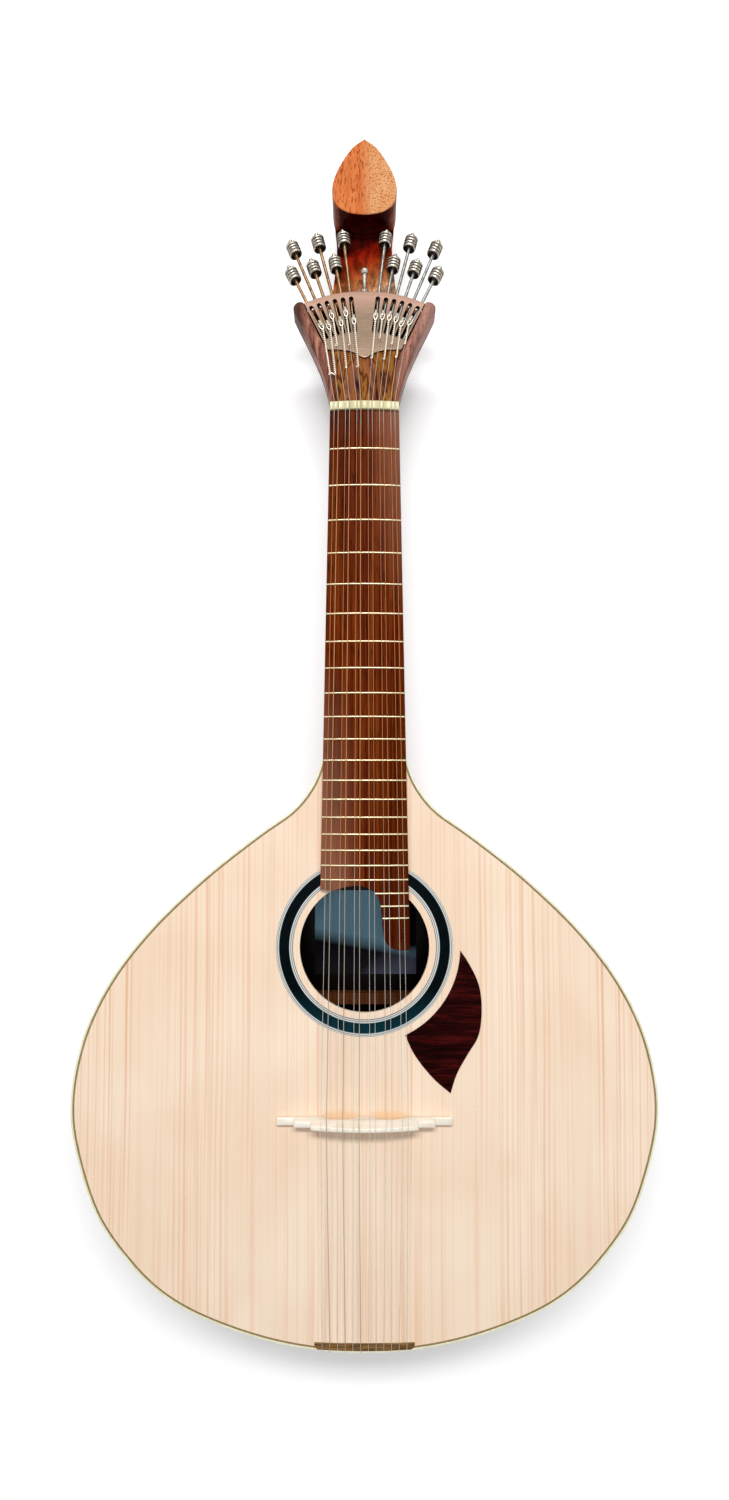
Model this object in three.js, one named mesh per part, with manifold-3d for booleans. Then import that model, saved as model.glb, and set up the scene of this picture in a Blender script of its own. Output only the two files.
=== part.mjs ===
// Portuguese guitar with a fan tuning machine, in millimetres.
// +Z points out of the soundboard, +Y runs up the neck and +X is the treble side.
// The origin is on the outer face of the back, straight below the bridge.
import * as THREE from 'three';
import { mergeVertices } from 'three/addons/utils/BufferGeometryUtils.js';
import Module from 'manifold-3d';

// Scale, frets and strings
const SCALE_LENGTH = 470;
const FRET_COUNT = 22;
const BODY_FRET = 12;
const FRETS_PER_OCTAVE = 12;
const FRET_HEIGHT = 1;
const FRET_WIDTH = 2;
const PLAIN_STRING_RADIUS = 0.19;
const WOUND_STRING_RADIUS = 0.36;
const CLEARANCE = 0.3;
const OVERRUN = 5;
const FINE_STEPS = 40;
const TURNED_STEPS = 8;
const BORE_STEPS = 8;

// Body
const BODY_LENGTH = 380.5;
const BODY_WIDTH = 382.4;
const BODY_DEPTH = 85;
const TOP_THICKNESS = 2.8;
const BACK_THICKNESS = 3;
const RIB_THICKNESS = 2.8;
const BINDING_WIDTH = 2.5;
const RIM_STEPS = 56;
const LINING_WIDTH = 6;
const LINING_HEIGHT = 10;
const NECK_BLOCK_WIDTH = 64;
const NECK_BLOCK_LENGTH = 36;
const TAIL_BLOCK_WIDTH = 70;
const TAIL_BLOCK_LENGTH = 14;
const BRACE_WIDTH = 8;
const TOP_BRACE_HEIGHT = 14;
const BACK_BRACE_HEIGHT = 10;
const UPPER_BRACE_SETBACK = 65;
const LOWER_BRACE_SETBACK = 177;
const UPPER_BACK_BRACE_SETBACK = 57;
const LOWER_BACK_BRACE_SETBACK = 172;

// Soundhole, rosette and pickguard
const SOUNDHOLE_RADIUS = 42.5;
const SOUNDHOLE_BRIDGE_GAP = 112.5;
const ROSETTE_INNER_RADIUS = 47.1;
const ROSETTE_OUTER_RADIUS = 58.2;
const ROSETTE_DEPTH = 1.2;
const PICKGUARD_RADIUS = 62.8;
const PICKGUARD_LENGTH = 92;
const PICKGUARD_REACH = 76.6;
const PICKGUARD_THICKNESS = 0.8;
const PICKGUARD_ARC_START = THREE.MathUtils.degToRad(-2);
const PICKGUARD_ARC_END = THREE.MathUtils.degToRad(-65);
const PICKGUARD_ARC_STEPS = 12;

// Bridge, tail strip and tail plate
const BRIDGE_LENGTH = 114;
const BRIDGE_CREST = 69;
const BRIDGE_STEP = 91;
const BRIDGE_HEIGHT = 16.4;
const BRIDGE_STEP_HEIGHT = 7.9;
const BRIDGE_END_HEIGHT = 3.5;
const BRIDGE_THICKNESS = 5.2;
const BRIDGE_TOP_THICKNESS = 2.4;
const BRIDGE_FOOT_HEIGHT = 2.5;
const BRIDGE_ARCH_WIDTH = 24.5;
const BRIDGE_ARCH_HEIGHT = 5;
const BRIDGE_ARCH_PLACE = 15.8;
const TAIL_STRIP_WIDTH = 64.5;
const TAIL_STRIP_LENGTH = 6.8;
const TAIL_STRIP_HEIGHT = 3.2;
const TAIL_EDGE_WIDTH = 1.2;
const TAIL_PLATE_WIDTH = 72;
const TAIL_PLATE_HEIGHT = 20;
const TAIL_PLATE_THICKNESS = 1.5;
const TAIL_PLATE_DROP = 16;
const TAIL_PIN_RADIUS = 0.9;
const TAIL_PIN_LENGTH = 3.5;
const TAIL_STRING_SPACING = 4.95;
const BRIDGE_COURSE_SPACING = 10.4;
const BRIDGE_PAIR_SPACING = 3.6;
const NUT_COURSE_SPACING = 7.55;
const NUT_PAIR_SPACING = 2.75;
const COURSES = 6;
const BASS_COURSES = 3;
const WIRE_SIDES = 6;

// Neck, fingerboard and nut
const FINGERBOARD_THICKNESS = 6;
const CAMBER_RADIUS = 150;
const NUT_WIDTH = 46.4;
const NUT_LENGTH = 5.5;
const NUT_RISE = 1.2;
const FINGERBOARD_END_WIDTH = 59.4;
const FINGERBOARD_OVERHANG = 85.5;
const EXTENSION_OVERHANG = 124;
const EXTENSION_WIDTH = 24;
const NECK_DEPTH = 16;
const NECK_ROUNDNESS = 0.8;
const HEEL_LENGTH = 46;
const HEEL_CAP_WIDTH = 24;
const CAMBER_STEPS = 8;
const NECK_RING_STEPS = 10;
const EDGE_STEPS = 10;
const ARC_STEPS = 20;

// Head, in its own plane: v runs up the head from the nut, w out of its face
const HEAD_ANGLE = THREE.MathUtils.degToRad(10);
const HEAD_THICKNESS = 15;
const HEAD_EAR_WIDTH = 99.6;
const HEAD_EAR_RADIUS = 96.4;
const CHEEK_RISE = 3.2;
const CHEEK_ROUNDING = 3;
const VENEER_THICKNESS = 1.5;
const VENEER_NUT_WIDTH = 42;
const COLUMN_BASE_WIDTH = 48;
const COLUMN_WIDTH = 39.8;
const COLUMN_FRONT = 9.7;
const COLUMN_THICKNESS = 12;
const TEARDROP_START = 145.3;
const TEARDROP_LENGTH = 65;
const TEARDROP_WIDTH = 46;
const TEARDROP_RISE = 10.3;

// Fan tuning machine, measured from the centre that the screws point at
const FAN_CENTRE = 6;
const FAN_FIRST_ANGLE = THREE.MathUtils.degToRad(6);
const FAN_STEP_ANGLE = THREE.MathUtils.degToRad(3.7);
const TUNERS_PER_SIDE = 6;
const PLATE_THICKNESS = 1.2;
const PLATE_RADIUS = 94.5;
const PLATE_TOP_WIDTH = 84;
const PLATE_FOOT_WIDTH = 50.4;
const PLATE_FOOT_FLAT_WIDTH = 30;
const PLATE_FOOT_PLACE = 42;
const PLATE_POINT_PLACE = 35.7;
const FLANGE_DROP = 6;
const SLOT_WIDTH = 2.6;
const SLOT_START = 62;
const SLOT_END = 90.3;
const POCKET_LEDGE = 0.8;
const POCKET_START = 58.5;
const POCKET_DEPTH = 8.2;
const SCREW_RADIUS = 1.1;
const SCREW_DEPTH = 1.3;
const SCREW_INSET = 1.5;
const COLLAR_RADIUS = 1.9;
const COLLAR_LENGTH = 1.2;
const SHORT_KNOB_RADIUS = 122.1;
const LONG_KNOB_RADIUS = 141.8;
const KNOB_RADIUS = 4.65;
const KNOB_LENGTH = 10.4;
const KNOB_GROOVE = 0.5;
const KNOB_RIBS = 4;
const KNOB_WALL = 0.9;
const KNOB_CUP_DEPTH = 2.2;
const KNOB_TIP_LENGTH = 3.2;
const KNOB_TIP_RADIUS = 1;
const CARRIAGE_WIDTH = 3;
const CARRIAGE_LENGTH = 5;
const CARRIAGE_HEIGHT = 5;
const HOOK_THICKNESS = 1.5;
const HOOK_RISE = 3.6;
const HOOK_NOSE = 3;
const FINIAL_LENGTH = 24;
const FINIAL_RADIUS = 3;

// Places that follow from the sizes
const stringCount = 2 * TUNERS_PER_SIDE;
const courseStrings = stringCount / COURSES;
const bodyStart = SCALE_LENGTH * (1 - 2 ** (-BODY_FRET / FRETS_PER_OCTAVE));
const bodyEnd = bodyStart + BODY_LENGTH;
const topUnderside = BODY_DEPTH - TOP_THICKNESS;
const boardLength = bodyStart + FINGERBOARD_OVERHANG;
const extensionLength = bodyStart + EXTENSION_OVERHANG;
const boardTop = BODY_DEPTH + FINGERBOARD_THICKNESS;
const nutTop = boardTop + FRET_HEIGHT + NUT_RISE;
const bridgeTop = BODY_DEPTH + BRIDGE_HEIGHT;
const headFaceHeight = BODY_DEPTH - VENEER_THICKNESS - CLEARANCE;
const plateUnderside = VENEER_THICKNESS + 2 * CLEARANCE;
const plateFace = plateUnderside + PLATE_THICKNESS;
const boreRadius = SCREW_RADIUS + CLEARANCE;

const wasm = await Module();
wasm.setup();

const guitar = new THREE.Group();

// The object's Y at a distance from the nut towards the tail.
function fromNut(distance) {
  return SCALE_LENGTH - distance;
}

// Places and turns of the head's own plane.
function headFrame() {
  const frame = new THREE.Group();
  frame.position.set(0, fromNut(-NUT_LENGTH), headFaceHeight);
  frame.rotation.x = -HEAD_ANGLE;
  frame.updateMatrix();
  return frame;
}

const head = headFrame();
guitar.add(head);

function finish(colour, roughness, metalness) {
  return new THREE.MeshStandardMaterial({ color: colour, roughness, metalness });
}

const spruce = finish('#f0dcc3', 0.55, 0);
const walnut = finish('#7a4a30', 0.4, 0);
const rosewood = finish('#4a2419', 0.45, 0);
const mahogany = finish('#a5532f', 0.35, 0);
const veneerWood = finish('#6b3a20', 0.35, 0);
const cedar = finish('#c08a5c', 0.7, 0);
const bone = finish('#efe6cf', 0.4, 0);
const bindingPale = finish('#d9d3b8', 0.4, 0);
const inlayBlack = finish('#1c1f22', 0.25, 0);
const nickel = finish('#b9a79c', 0.3, 1);
const agedNickel = finish('#8f877b', 0.4, 1);
const steel = finish('#d8d6d0', 0.25, 1);

function piece(name, geometry, material, parent = guitar) {
  const mesh = new THREE.Mesh(geometry, material);
  mesh.name = name;
  parent.add(mesh);
  return mesh;
}

// Three.js geometry and manifold solids, turned into each other.
function solid(geometry) {
  const bare = geometry.clone();
  bare.deleteAttribute('normal');
  bare.deleteAttribute('uv');
  const merged = mergeVertices(bare);
  return new wasm.Manifold(new wasm.Mesh({
    numProp: 3,
    vertProperties: new Float32Array(merged.attributes.position.array),
    triVerts: new Uint32Array(merged.index.array),
  }));
}

function geometryOf(body) {
  const mesh = body.getMesh();
  const geometry = new THREE.BufferGeometry();
  geometry.setAttribute('position', new THREE.BufferAttribute(new Float32Array(mesh.vertProperties), 3));
  geometry.setIndex(new THREE.BufferAttribute(new Uint32Array(mesh.triVerts), 1));
  return geometry;
}

// A flat outline raised from one height to another.
function prism(outline, low, high, curveSegments = BORE_STEPS) {
  const shape = outline instanceof THREE.Shape ? outline : new THREE.Shape(outline);
  const settings = { depth: high - low, bevelEnabled: false, curveSegments };
  return new THREE.ExtrudeGeometry(shape, settings).translate(0, 0, low);
}

// A side view, drawn as (y, z), carried across from one x to another.
function sideProfile(points, low, high) {
  const axes = new THREE.Matrix4().makeBasis(
    new THREE.Vector3(0, 1, 0),
    new THREE.Vector3(0, 0, 1),
    new THREE.Vector3(1, 0, 0),
  );
  return prism(points, low, high).applyMatrix4(axes);
}

// A front view, drawn as (x, z), carried along from one y to another.
function frontProfile(points, low, high) {
  return prism(points, -high, -low).rotateX(Math.PI / 2);
}

function box(low, high) {
  const size = high.clone().sub(low);
  const centre = low.clone().add(high).multiplyScalar(0.5);
  return new THREE.BoxGeometry(size.x, size.y, size.z).translate(centre.x, centre.y, centre.z);
}

function rod(radius, start, end, steps = BORE_STEPS) {
  const geometry = new THREE.CylinderGeometry(radius, radius, end - start, steps);
  return geometry.translate(0, (start + end) / 2, 0);
}

// A round plate about a point on the centre line.
function disc(centre, radius, low, high) {
  const geometry = new THREE.CylinderGeometry(radius, radius, high - low, FINE_STEPS).rotateX(Math.PI / 2);
  return geometry.translate(0, centre, (low + high) / 2);
}

// A closed skin over rings that each have the same number of points, first ring to last.
function skin(rings) {
  const count = rings[0].length;
  const positions = rings.flat().flatMap((point) => [point.x, point.y, point.z]);
  const index = [];
  for (let ring = 0; ring + 1 < rings.length; ring += 1) {
    for (let corner = 0; corner < count; corner += 1) {
      const next = (corner + 1) % count;
      const here = ring * count;
      const there = here + count;
      index.push(here + corner, here + next, there + next);
      index.push(here + corner, there + next, there + corner);
    }
  }
  const last = (rings.length - 1) * count;
  for (let corner = 1; corner + 1 < count; corner += 1) {
    index.push(0, corner + 1, corner);
    index.push(last, last + corner, last + corner + 1);
  }
  const geometry = new THREE.BufferGeometry();
  geometry.setAttribute('position', new THREE.Float32BufferAttribute(positions, 3));
  geometry.setIndex(index);
  return geometry;
}

// Points of a smooth curve through a list of [x, y] pairs.
function smooth(pairs, steps) {
  const knots = pairs.map(([x, y]) => new THREE.Vector3(x, y, 0));
  const curve = new THREE.CatmullRomCurve3(knots, false, 'centripetal');
  return curve.getSpacedPoints(steps).map((point) => new THREE.Vector2(point.x, point.y));
}

// The same points on the other side of the centre line, in the order that closes an outline.
function mirrorOf(points) {
  return points.map((point) => new THREE.Vector2(-point.x, point.y)).reverse();
}

function mirrored(half) {
  return [...half, ...mirrorOf(half)];
}

// Body outline: shares of half the width, and of the length from the neck joint to the tail.
const outlineShares = [
  [0.147, 0], [0.178, 0.04], [0.241, 0.0825], [0.354, 0.124], [0.464, 0.166],
  [0.563, 0.207], [0.732, 0.289], [0.86, 0.371], [0.945, 0.453], [0.99, 0.535], [1, 0.6],
  [0.986, 0.655], [0.906, 0.7745], [0.791, 0.854], [0.689, 0.902], [0.553, 0.941], [0.284, 0.985],
];

const trebleRim = outlineShares.map(([across, along]) => [
  (across * BODY_WIDTH) / 2,
  fromNut(bodyStart + along * BODY_LENGTH),
]);
const bassRim = trebleRim.map(([x, y]) => [-x, y]).reverse();
const rim = smooth([...trebleRim, [0, fromNut(bodyEnd)], ...bassRim], RIM_STEPS);

// The rim, from the treble side of the neck round the tail, moved inwards by an inset.
function rimAt(inset) {
  return rim.map((point, place) => {
    const before = rim[Math.max(place - 1, 0)];
    const after = rim[Math.min(place + 1, RIM_STEPS)];
    const along = after.clone().sub(before).normalize();
    const inwards = new THREE.Vector2(along.y, -along.x);
    if (place === 0 || place === RIM_STEPS) {
      return new THREE.Vector2(point.x + inset / inwards.x, point.y);
    }
    return point.clone().addScaledVector(inwards, inset);
  });
}

// A strip that follows the rim between two insets, over a stretch of the rim's steps.
function rimStrip(outer, inner, low, high, first = 0, last = RIM_STEPS) {
  const outside = rimAt(outer).slice(first, last + 1);
  const inside = rimAt(inner).slice(first, last + 1).reverse();
  return prism(outside.concat(inside), low, high);
}

// Soundboard: spruce plate with the soundhole, the rosette's groove and the tail strip's notch
function stripNotch(grow) {
  const half = TAIL_STRIP_WIDTH / 2 + grow;
  return box(
    new THREE.Vector3(-half, fromNut(bodyEnd + OVERRUN), topUnderside - OVERRUN),
    new THREE.Vector3(half, fromNut(bodyEnd - TAIL_EDGE_WIDTH - TAIL_STRIP_LENGTH) + grow, boardTop),
  );
}

const soundholeY = fromNut(SCALE_LENGTH) + SOUNDHOLE_BRIDGE_GAP;
const grooveFloor = BODY_DEPTH - ROSETTE_DEPTH;
const groove = solid(disc(soundholeY, ROSETTE_OUTER_RADIUS + CLEARANCE, grooveFloor, boardTop))
  .subtract(solid(disc(soundholeY, ROSETTE_INNER_RADIUS - CLEARANCE, grooveFloor - OVERRUN, nutTop)));
const soundboard = solid(prism(rimAt(BINDING_WIDTH + CLEARANCE), topUnderside, BODY_DEPTH))
  .subtract(solid(disc(soundholeY, SOUNDHOLE_RADIUS, topUnderside - OVERRUN, boardTop)))
  .subtract(groove)
  .subtract(solid(stripNotch(CLEARANCE)));
piece('soundboard', geometryOf(soundboard), spruce);

const rosette = solid(disc(soundholeY, ROSETTE_OUTER_RADIUS, grooveFloor, BODY_DEPTH))
  .subtract(solid(disc(soundholeY, ROSETTE_INNER_RADIUS, grooveFloor - OVERRUN, boardTop)));
piece('rosette', geometryOf(rosette), inlayBlack);

// Back, ribs and the bent strips at both edges
piece('back', prism(rimAt(BINDING_WIDTH + CLEARANCE), 0, BACK_THICKNESS), walnut);
piece('back_binding', rimStrip(0, BINDING_WIDTH, 0, BACK_THICKNESS), bindingPale);
const topBinding = solid(rimStrip(0, BINDING_WIDTH, topUnderside, BODY_DEPTH))
  .subtract(solid(prism(rimAt(TAIL_EDGE_WIDTH), topUnderside - OVERRUN, boardTop))
    .intersect(solid(stripNotch(CLEARANCE))));
piece('top_binding', geometryOf(topBinding), bindingPale);

const tailStep = RIM_STEPS / 2;
piece('side_treble', rimStrip(0, RIB_THICKNESS, BACK_THICKNESS, topUnderside, 0, tailStep), walnut);
piece('side_bass', rimStrip(0, RIB_THICKNESS, BACK_THICKNESS, topUnderside, tailStep, RIM_STEPS), walnut);

// End blocks, linings and braces, all inside the ribs
function insideRim(inset) {
  return solid(prism(rimAt(inset), -OVERRUN, boardTop));
}

function blockBox(half, near, far, low, high) {
  const corner = new THREE.Vector3(-half, fromNut(far), low);
  return solid(box(corner, new THREE.Vector3(half, fromNut(near), high)));
}

const withinRibs = insideRim(RIB_THICKNESS + CLEARANCE);
const neckBlockEnd = bodyStart + NECK_BLOCK_LENGTH;
const neckBlock = blockBox(NECK_BLOCK_WIDTH / 2, bodyStart, neckBlockEnd, BACK_THICKNESS, topUnderside)
  .intersect(withinRibs);
piece('neck_block', geometryOf(neckBlock), cedar);

const lowLiningTop = BACK_THICKNESS + LINING_HEIGHT;
const highLiningBottom = topUnderside - LINING_HEIGHT;
const tailBlockStart = bodyEnd - RIB_THICKNESS - TAIL_BLOCK_LENGTH;
const tailBlock = blockBox(TAIL_BLOCK_WIDTH / 2, tailBlockStart, bodyEnd, lowLiningTop, highLiningBottom)
  .intersect(withinRibs);
piece('tail_block', geometryOf(tailBlock), cedar);

const liningOuter = RIB_THICKNESS + CLEARANCE;
const liningInner = liningOuter + LINING_WIDTH;
const neckBlockRoom = blockBox(
  NECK_BLOCK_WIDTH / 2 + CLEARANCE,
  bodyStart - OVERRUN,
  neckBlockEnd + CLEARANCE,
  -OVERRUN,
  boardTop,
);
const topLining = solid(rimStrip(liningOuter, liningInner, highLiningBottom, topUnderside))
  .subtract(neckBlockRoom);
piece('top_lining', geometryOf(topLining), cedar);
const backLining = solid(rimStrip(liningOuter, liningInner, BACK_THICKNESS, lowLiningTop))
  .subtract(neckBlockRoom);
piece('back_lining', geometryOf(backLining), cedar);

const withinLinings = insideRim(liningInner + CLEARANCE);

function brace(name, setback, low, high) {
  const place = bodyStart + setback;
  const bar = blockBox(BODY_WIDTH / 2, place - BRACE_WIDTH / 2, place + BRACE_WIDTH / 2, low, high);
  piece(name, geometryOf(bar.intersect(withinLinings)), cedar);
}

brace('upper_brace', UPPER_BRACE_SETBACK, topUnderside - TOP_BRACE_HEIGHT, topUnderside);
brace('lower_brace', LOWER_BRACE_SETBACK, topUnderside - TOP_BRACE_HEIGHT, topUnderside);
brace('back_brace_upper', UPPER_BACK_BRACE_SETBACK, BACK_THICKNESS, BACK_THICKNESS + BACK_BRACE_HEIGHT);
brace('back_brace_lower', LOWER_BACK_BRACE_SETBACK, BACK_THICKNESS, BACK_THICKNESS + BACK_BRACE_HEIGHT);

// Pickguard: a leaf whose inner edge is an arc round the soundhole.
// Its outer edge is in shares of its reach from the centre line and of its length from the upper tip.
const pickguardEdgeShares = [
  [0.88, 0.073], [0.975, 0.237], [1, 0.417], [0.97, 0.6], [0.877, 0.73], [0.785, 0.866],
];
const pickguardTipShares = [0.731, 1];
const pickguardReturnShares = [[0.59, 0.9], [0.425, 0.73]];

function pickguardOutline() {
  const onArc = (angle) => [
    PICKGUARD_RADIUS * Math.cos(angle),
    soundholeY + PICKGUARD_RADIUS * Math.sin(angle),
  ];
  const top = onArc(PICKGUARD_ARC_START);
  const atShare = ([across, along]) => [across * PICKGUARD_REACH, top[1] - along * PICKGUARD_LENGTH];
  const tip = atShare(pickguardTipShares);
  const outer = smooth([top, ...pickguardEdgeShares.map(atShare), tip], PICKGUARD_ARC_STEPS);
  const inner = smooth(
    [tip, ...pickguardReturnShares.map(atShare), onArc(PICKGUARD_ARC_END)],
    PICKGUARD_ARC_STEPS / 2,
  );
  const arc = [];
  for (let step = 1; step < PICKGUARD_ARC_STEPS; step += 1) {
    const angle = THREE.MathUtils.lerp(PICKGUARD_ARC_END, PICKGUARD_ARC_START, step / PICKGUARD_ARC_STEPS);
    arc.push(new THREE.Vector2(...onArc(angle)));
  }
  return [...outer, ...inner.slice(1), ...arc];
}

piece('pickguard', prism(pickguardOutline(), BODY_DEPTH, BODY_DEPTH + PICKGUARD_THICKNESS), rosewood);

// Fingerboard with its frets, cambered across and swept out over the soundhole on the treble side
function camber(x) {
  return CAMBER_RADIUS - Math.sqrt(CAMBER_RADIUS ** 2 - x ** 2);
}

const boardTaper = (FINGERBOARD_END_WIDTH - NUT_WIDTH) / 2 / extensionLength;

function boardHalfWidth(distance) {
  return NUT_WIDTH / 2 + boardTaper * distance;
}

// Inner edge of the extension, in shares of its width and of its length past the board's end.
const extensionShares = [
  [1, 0], [0.84, 0.16], [0.77, 0.41], [0.74, 0.64], [0.66, 0.86], [0.5, 0.96], [0.28, 1],
];
// The board's end on the bass side, in shares of its half width and of the extension's length.
const boardEndShares = [[-1, -0.03], [-0.74, 0], [-0.43, -0.065], [-0.1, -0.085]];

function boardOutline() {
  const end = boardHalfWidth(extensionLength);
  const reach = extensionLength - boardLength;
  const bass = boardHalfWidth(boardLength);
  const endPairs = boardEndShares.map(([across, along]) => [
    across * bass,
    fromNut(boardLength + along * reach),
  ]);
  const sweep = extensionShares.map(([across, along]) => [
    end - across * EXTENSION_WIDTH,
    fromNut(boardLength + along * reach),
  ]);
  return [
    new THREE.Vector2(NUT_WIDTH / 2, fromNut(0)),
    new THREE.Vector2(-NUT_WIDTH / 2, fromNut(0)),
    ...smooth([...endPairs, ...sweep], FINE_STEPS / 2),
    new THREE.Vector2(end, fromNut(extensionLength)),
  ];
}

// A cambered section: flat below, an arc above whose crown is at the given height.
function camberSection(half, floor, crown, steps) {
  const points = [new THREE.Vector2(-half, floor), new THREE.Vector2(half, floor)];
  for (let step = 0; step <= steps; step += 1) {
    const x = THREE.MathUtils.lerp(half, -half, step / steps);
    points.push(new THREE.Vector2(x, crown - camber(x)));
  }
  return points;
}

const boardPlan = solid(prism(boardOutline(), BODY_DEPTH - OVERRUN, nutTop + OVERRUN));
const boardHalfEnd = FINGERBOARD_END_WIDTH / 2 + OVERRUN;
let fingerboard = solid(frontProfile(
  camberSection(boardHalfEnd, BODY_DEPTH, boardTop, CAMBER_STEPS),
  fromNut(extensionLength),
  fromNut(0),
));

function fretPlace(fret) {
  return SCALE_LENGTH * (1 - 2 ** (-fret / FRETS_PER_OCTAVE));
}

for (let fret = 1; fret <= FRET_COUNT; fret += 1) {
  const place = fretPlace(fret);
  const wire = solid(frontProfile(
    camberSection(boardHalfEnd, BODY_DEPTH, boardTop + FRET_HEIGHT, CAMBER_STEPS),
    fromNut(place + FRET_WIDTH / 2),
    fromNut(place - FRET_WIDTH / 2),
  ));
  fingerboard = fingerboard.add(wire);
}
piece('fingerboard', geometryOf(fingerboard.intersect(boardPlan)), rosewood);

const nut = frontProfile(
  camberSection(NUT_WIDTH / 2, BODY_DEPTH, nutTop, CAMBER_STEPS),
  fromNut(0),
  fromNut(-NUT_LENGTH),
);
piece('nut', nut, bone);

// Neck shaft and heel: D-shaped rings, flat on top, from the nut to the body joint.
// The heel's rings are in shares of its length and of its drop below the shaft.
const heelShares = [[0, 0], [0.3, 0.06], [0.52, 0.2], [0.7, 0.42], [0.85, 0.7], [1, 1]];

function neckRing(distance, depth, footHalf) {
  const half = boardHalfWidth(Math.max(distance, 0));
  const ring = [];
  for (let step = 0; step <= NECK_RING_STEPS; step += 1) {
    const angle = (Math.PI * step) / NECK_RING_STEPS;
    const down = Math.sin(angle);
    const side = Math.cos(angle);
    const bulge = Math.sign(side) * Math.abs(side) ** NECK_ROUNDNESS;
    const width = THREE.MathUtils.lerp(half, footHalf, down ** 2);
    const level = BODY_DEPTH - depth * down ** NECK_ROUNDNESS;
    ring.push(new THREE.Vector3(-bulge * width, fromNut(distance), level));
  }
  return ring;
}

const heelStart = bodyStart - HEEL_LENGTH;
const neckRings = [
  neckRing(-NUT_LENGTH, NECK_DEPTH, NUT_WIDTH / 2),
  neckRing(heelStart / 2, NECK_DEPTH, boardHalfWidth(heelStart / 2)),
];
for (const [along, drop] of heelShares) {
  const distance = heelStart + along * HEEL_LENGTH;
  const depth = THREE.MathUtils.lerp(NECK_DEPTH, BODY_DEPTH, drop);
  const footHalf = THREE.MathUtils.lerp(boardHalfWidth(distance), HEEL_CAP_WIDTH / 2, drop);
  neckRings.push(neckRing(distance, depth, footHalf));
}
const shaft = solid(skin(neckRings));

// Head outline: shares of half the width across the ears, and of the way up to them.
const earHalf = HEAD_EAR_WIDTH / 2;
const earPlace = Math.sqrt(HEAD_EAR_RADIUS ** 2 - earHalf ** 2) - FAN_CENTRE;
const headShares = [[0.466, -0.05], [0.47, 0.04], [0.51, 0.18], [0.597, 0.385], [0.739, 0.63], [1, 1]];

function fanPoint(radius, angle) {
  return new THREE.Vector2(radius * Math.sin(angle), radius * Math.cos(angle) - FAN_CENTRE);
}

// An arc about the fan's centre, from one side's angle to the other's.
function fanArc(radius, from, to) {
  const points = [];
  for (let step = 0; step <= ARC_STEPS; step += 1) {
    points.push(fanPoint(radius, THREE.MathUtils.lerp(from, to, step / ARC_STEPS)));
  }
  return points;
}

function headOutline() {
  const edge = smooth(headShares.map(([across, along]) => [across * earHalf, along * earPlace]), EDGE_STEPS);
  const earAngle = Math.asin(earHalf / HEAD_EAR_RADIUS);
  const top = fanArc(HEAD_EAR_RADIUS, earAngle, -earAngle).slice(1, -1);
  return [...edge, ...top, ...mirrorOf(edge)];
}

const slab = new THREE.ExtrudeGeometry(new THREE.Shape(headOutline()), {
  depth: HEAD_THICKNESS + CHEEK_RISE - 2 * CHEEK_ROUNDING,
  bevelSize: CHEEK_ROUNDING,
  bevelThickness: CHEEK_ROUNDING,
  bevelOffset: -CHEEK_ROUNDING,
  bevelSegments: 2,
}).translate(0, 0, CHEEK_ROUNDING - HEAD_THICKNESS);

// The plate's side line, moved inwards by an inset, at a place up the head.
const plateTopPlace = Math.sqrt(PLATE_RADIUS ** 2 - (PLATE_TOP_WIDTH / 2) ** 2) - FAN_CENTRE;
const plateSlope = (PLATE_TOP_WIDTH - PLATE_FOOT_WIDTH) / 2 / (plateTopPlace - PLATE_FOOT_PLACE);

function plateSide(place, inset = 0) {
  const run = inset * Math.sqrt(1 + plateSlope ** 2);
  return new THREE.Vector2(PLATE_FOOT_WIDTH / 2 + (place - PLATE_FOOT_PLACE) * plateSlope - run, place);
}

// The screws' pocket under the plate, open at the arc.
function pocketOutline(ledge) {
  const far = plateTopPlace + 3 * OVERRUN;
  const foot = PLATE_FOOT_PLACE + OVERRUN;
  const start = plateSide(foot, ledge);
  const angle = Math.atan2(start.x, start.y + FAN_CENTRE);
  const side = plateSide(far, ledge);
  const floor = fanArc(POCKET_START, -angle, angle);
  return [...floor, side, new THREE.Vector2(-side.x, side.y)];
}

// The sunk face that the veneer and the plate lie in, between the cheeks.
function sunkFace(inset) {
  const foot = plateSide(PLATE_POINT_PLACE, inset - CLEARANCE);
  const side = plateSide(plateTopPlace + 3 * OVERRUN, inset - CLEARANCE);
  const nutHalf = VENEER_NUT_WIDTH / 2 - inset + CLEARANCE;
  return mirrored([
    new THREE.Vector2(nutHalf, inset - 2 * CHEEK_ROUNDING),
    new THREE.Vector2(nutHalf, PLATE_POINT_PLACE / 4),
    foot,
    side,
  ]);
}

// Side view of the rear column and the teardrop above it: shares of the way from the head's
// middle to the tip, and of the depth from the column's back (0) to the teardrop's face (1).
const columnStart = PLATE_FOOT_PLACE;
const teardropTip = TEARDROP_START + TEARDROP_LENGTH;
const hornDepth = COLUMN_FRONT + COLUMN_THICKNESS + TEARDROP_RISE;
const hornBackShares = [
  [0, 0.21], [0.22, 0.15], [0.4, 0.08], [0.55, 0.02], [0.66, 0], [0.77, 0.08],
  [0.88, 0.36], [0.955, 0.68], [1, 0.94],
];
const hornLipShares = [[0.612, 1], [0.622, 0.88], [0.635, 0.7], [0.635, 0.55], [0.61, 0.42], [0.56, 0.375]];

function hornPoint([along, up]) {
  const place = THREE.MathUtils.lerp(columnStart, teardropTip, along);
  return [place, TEARDROP_RISE - hornDepth * (1 - up)];
}

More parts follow.
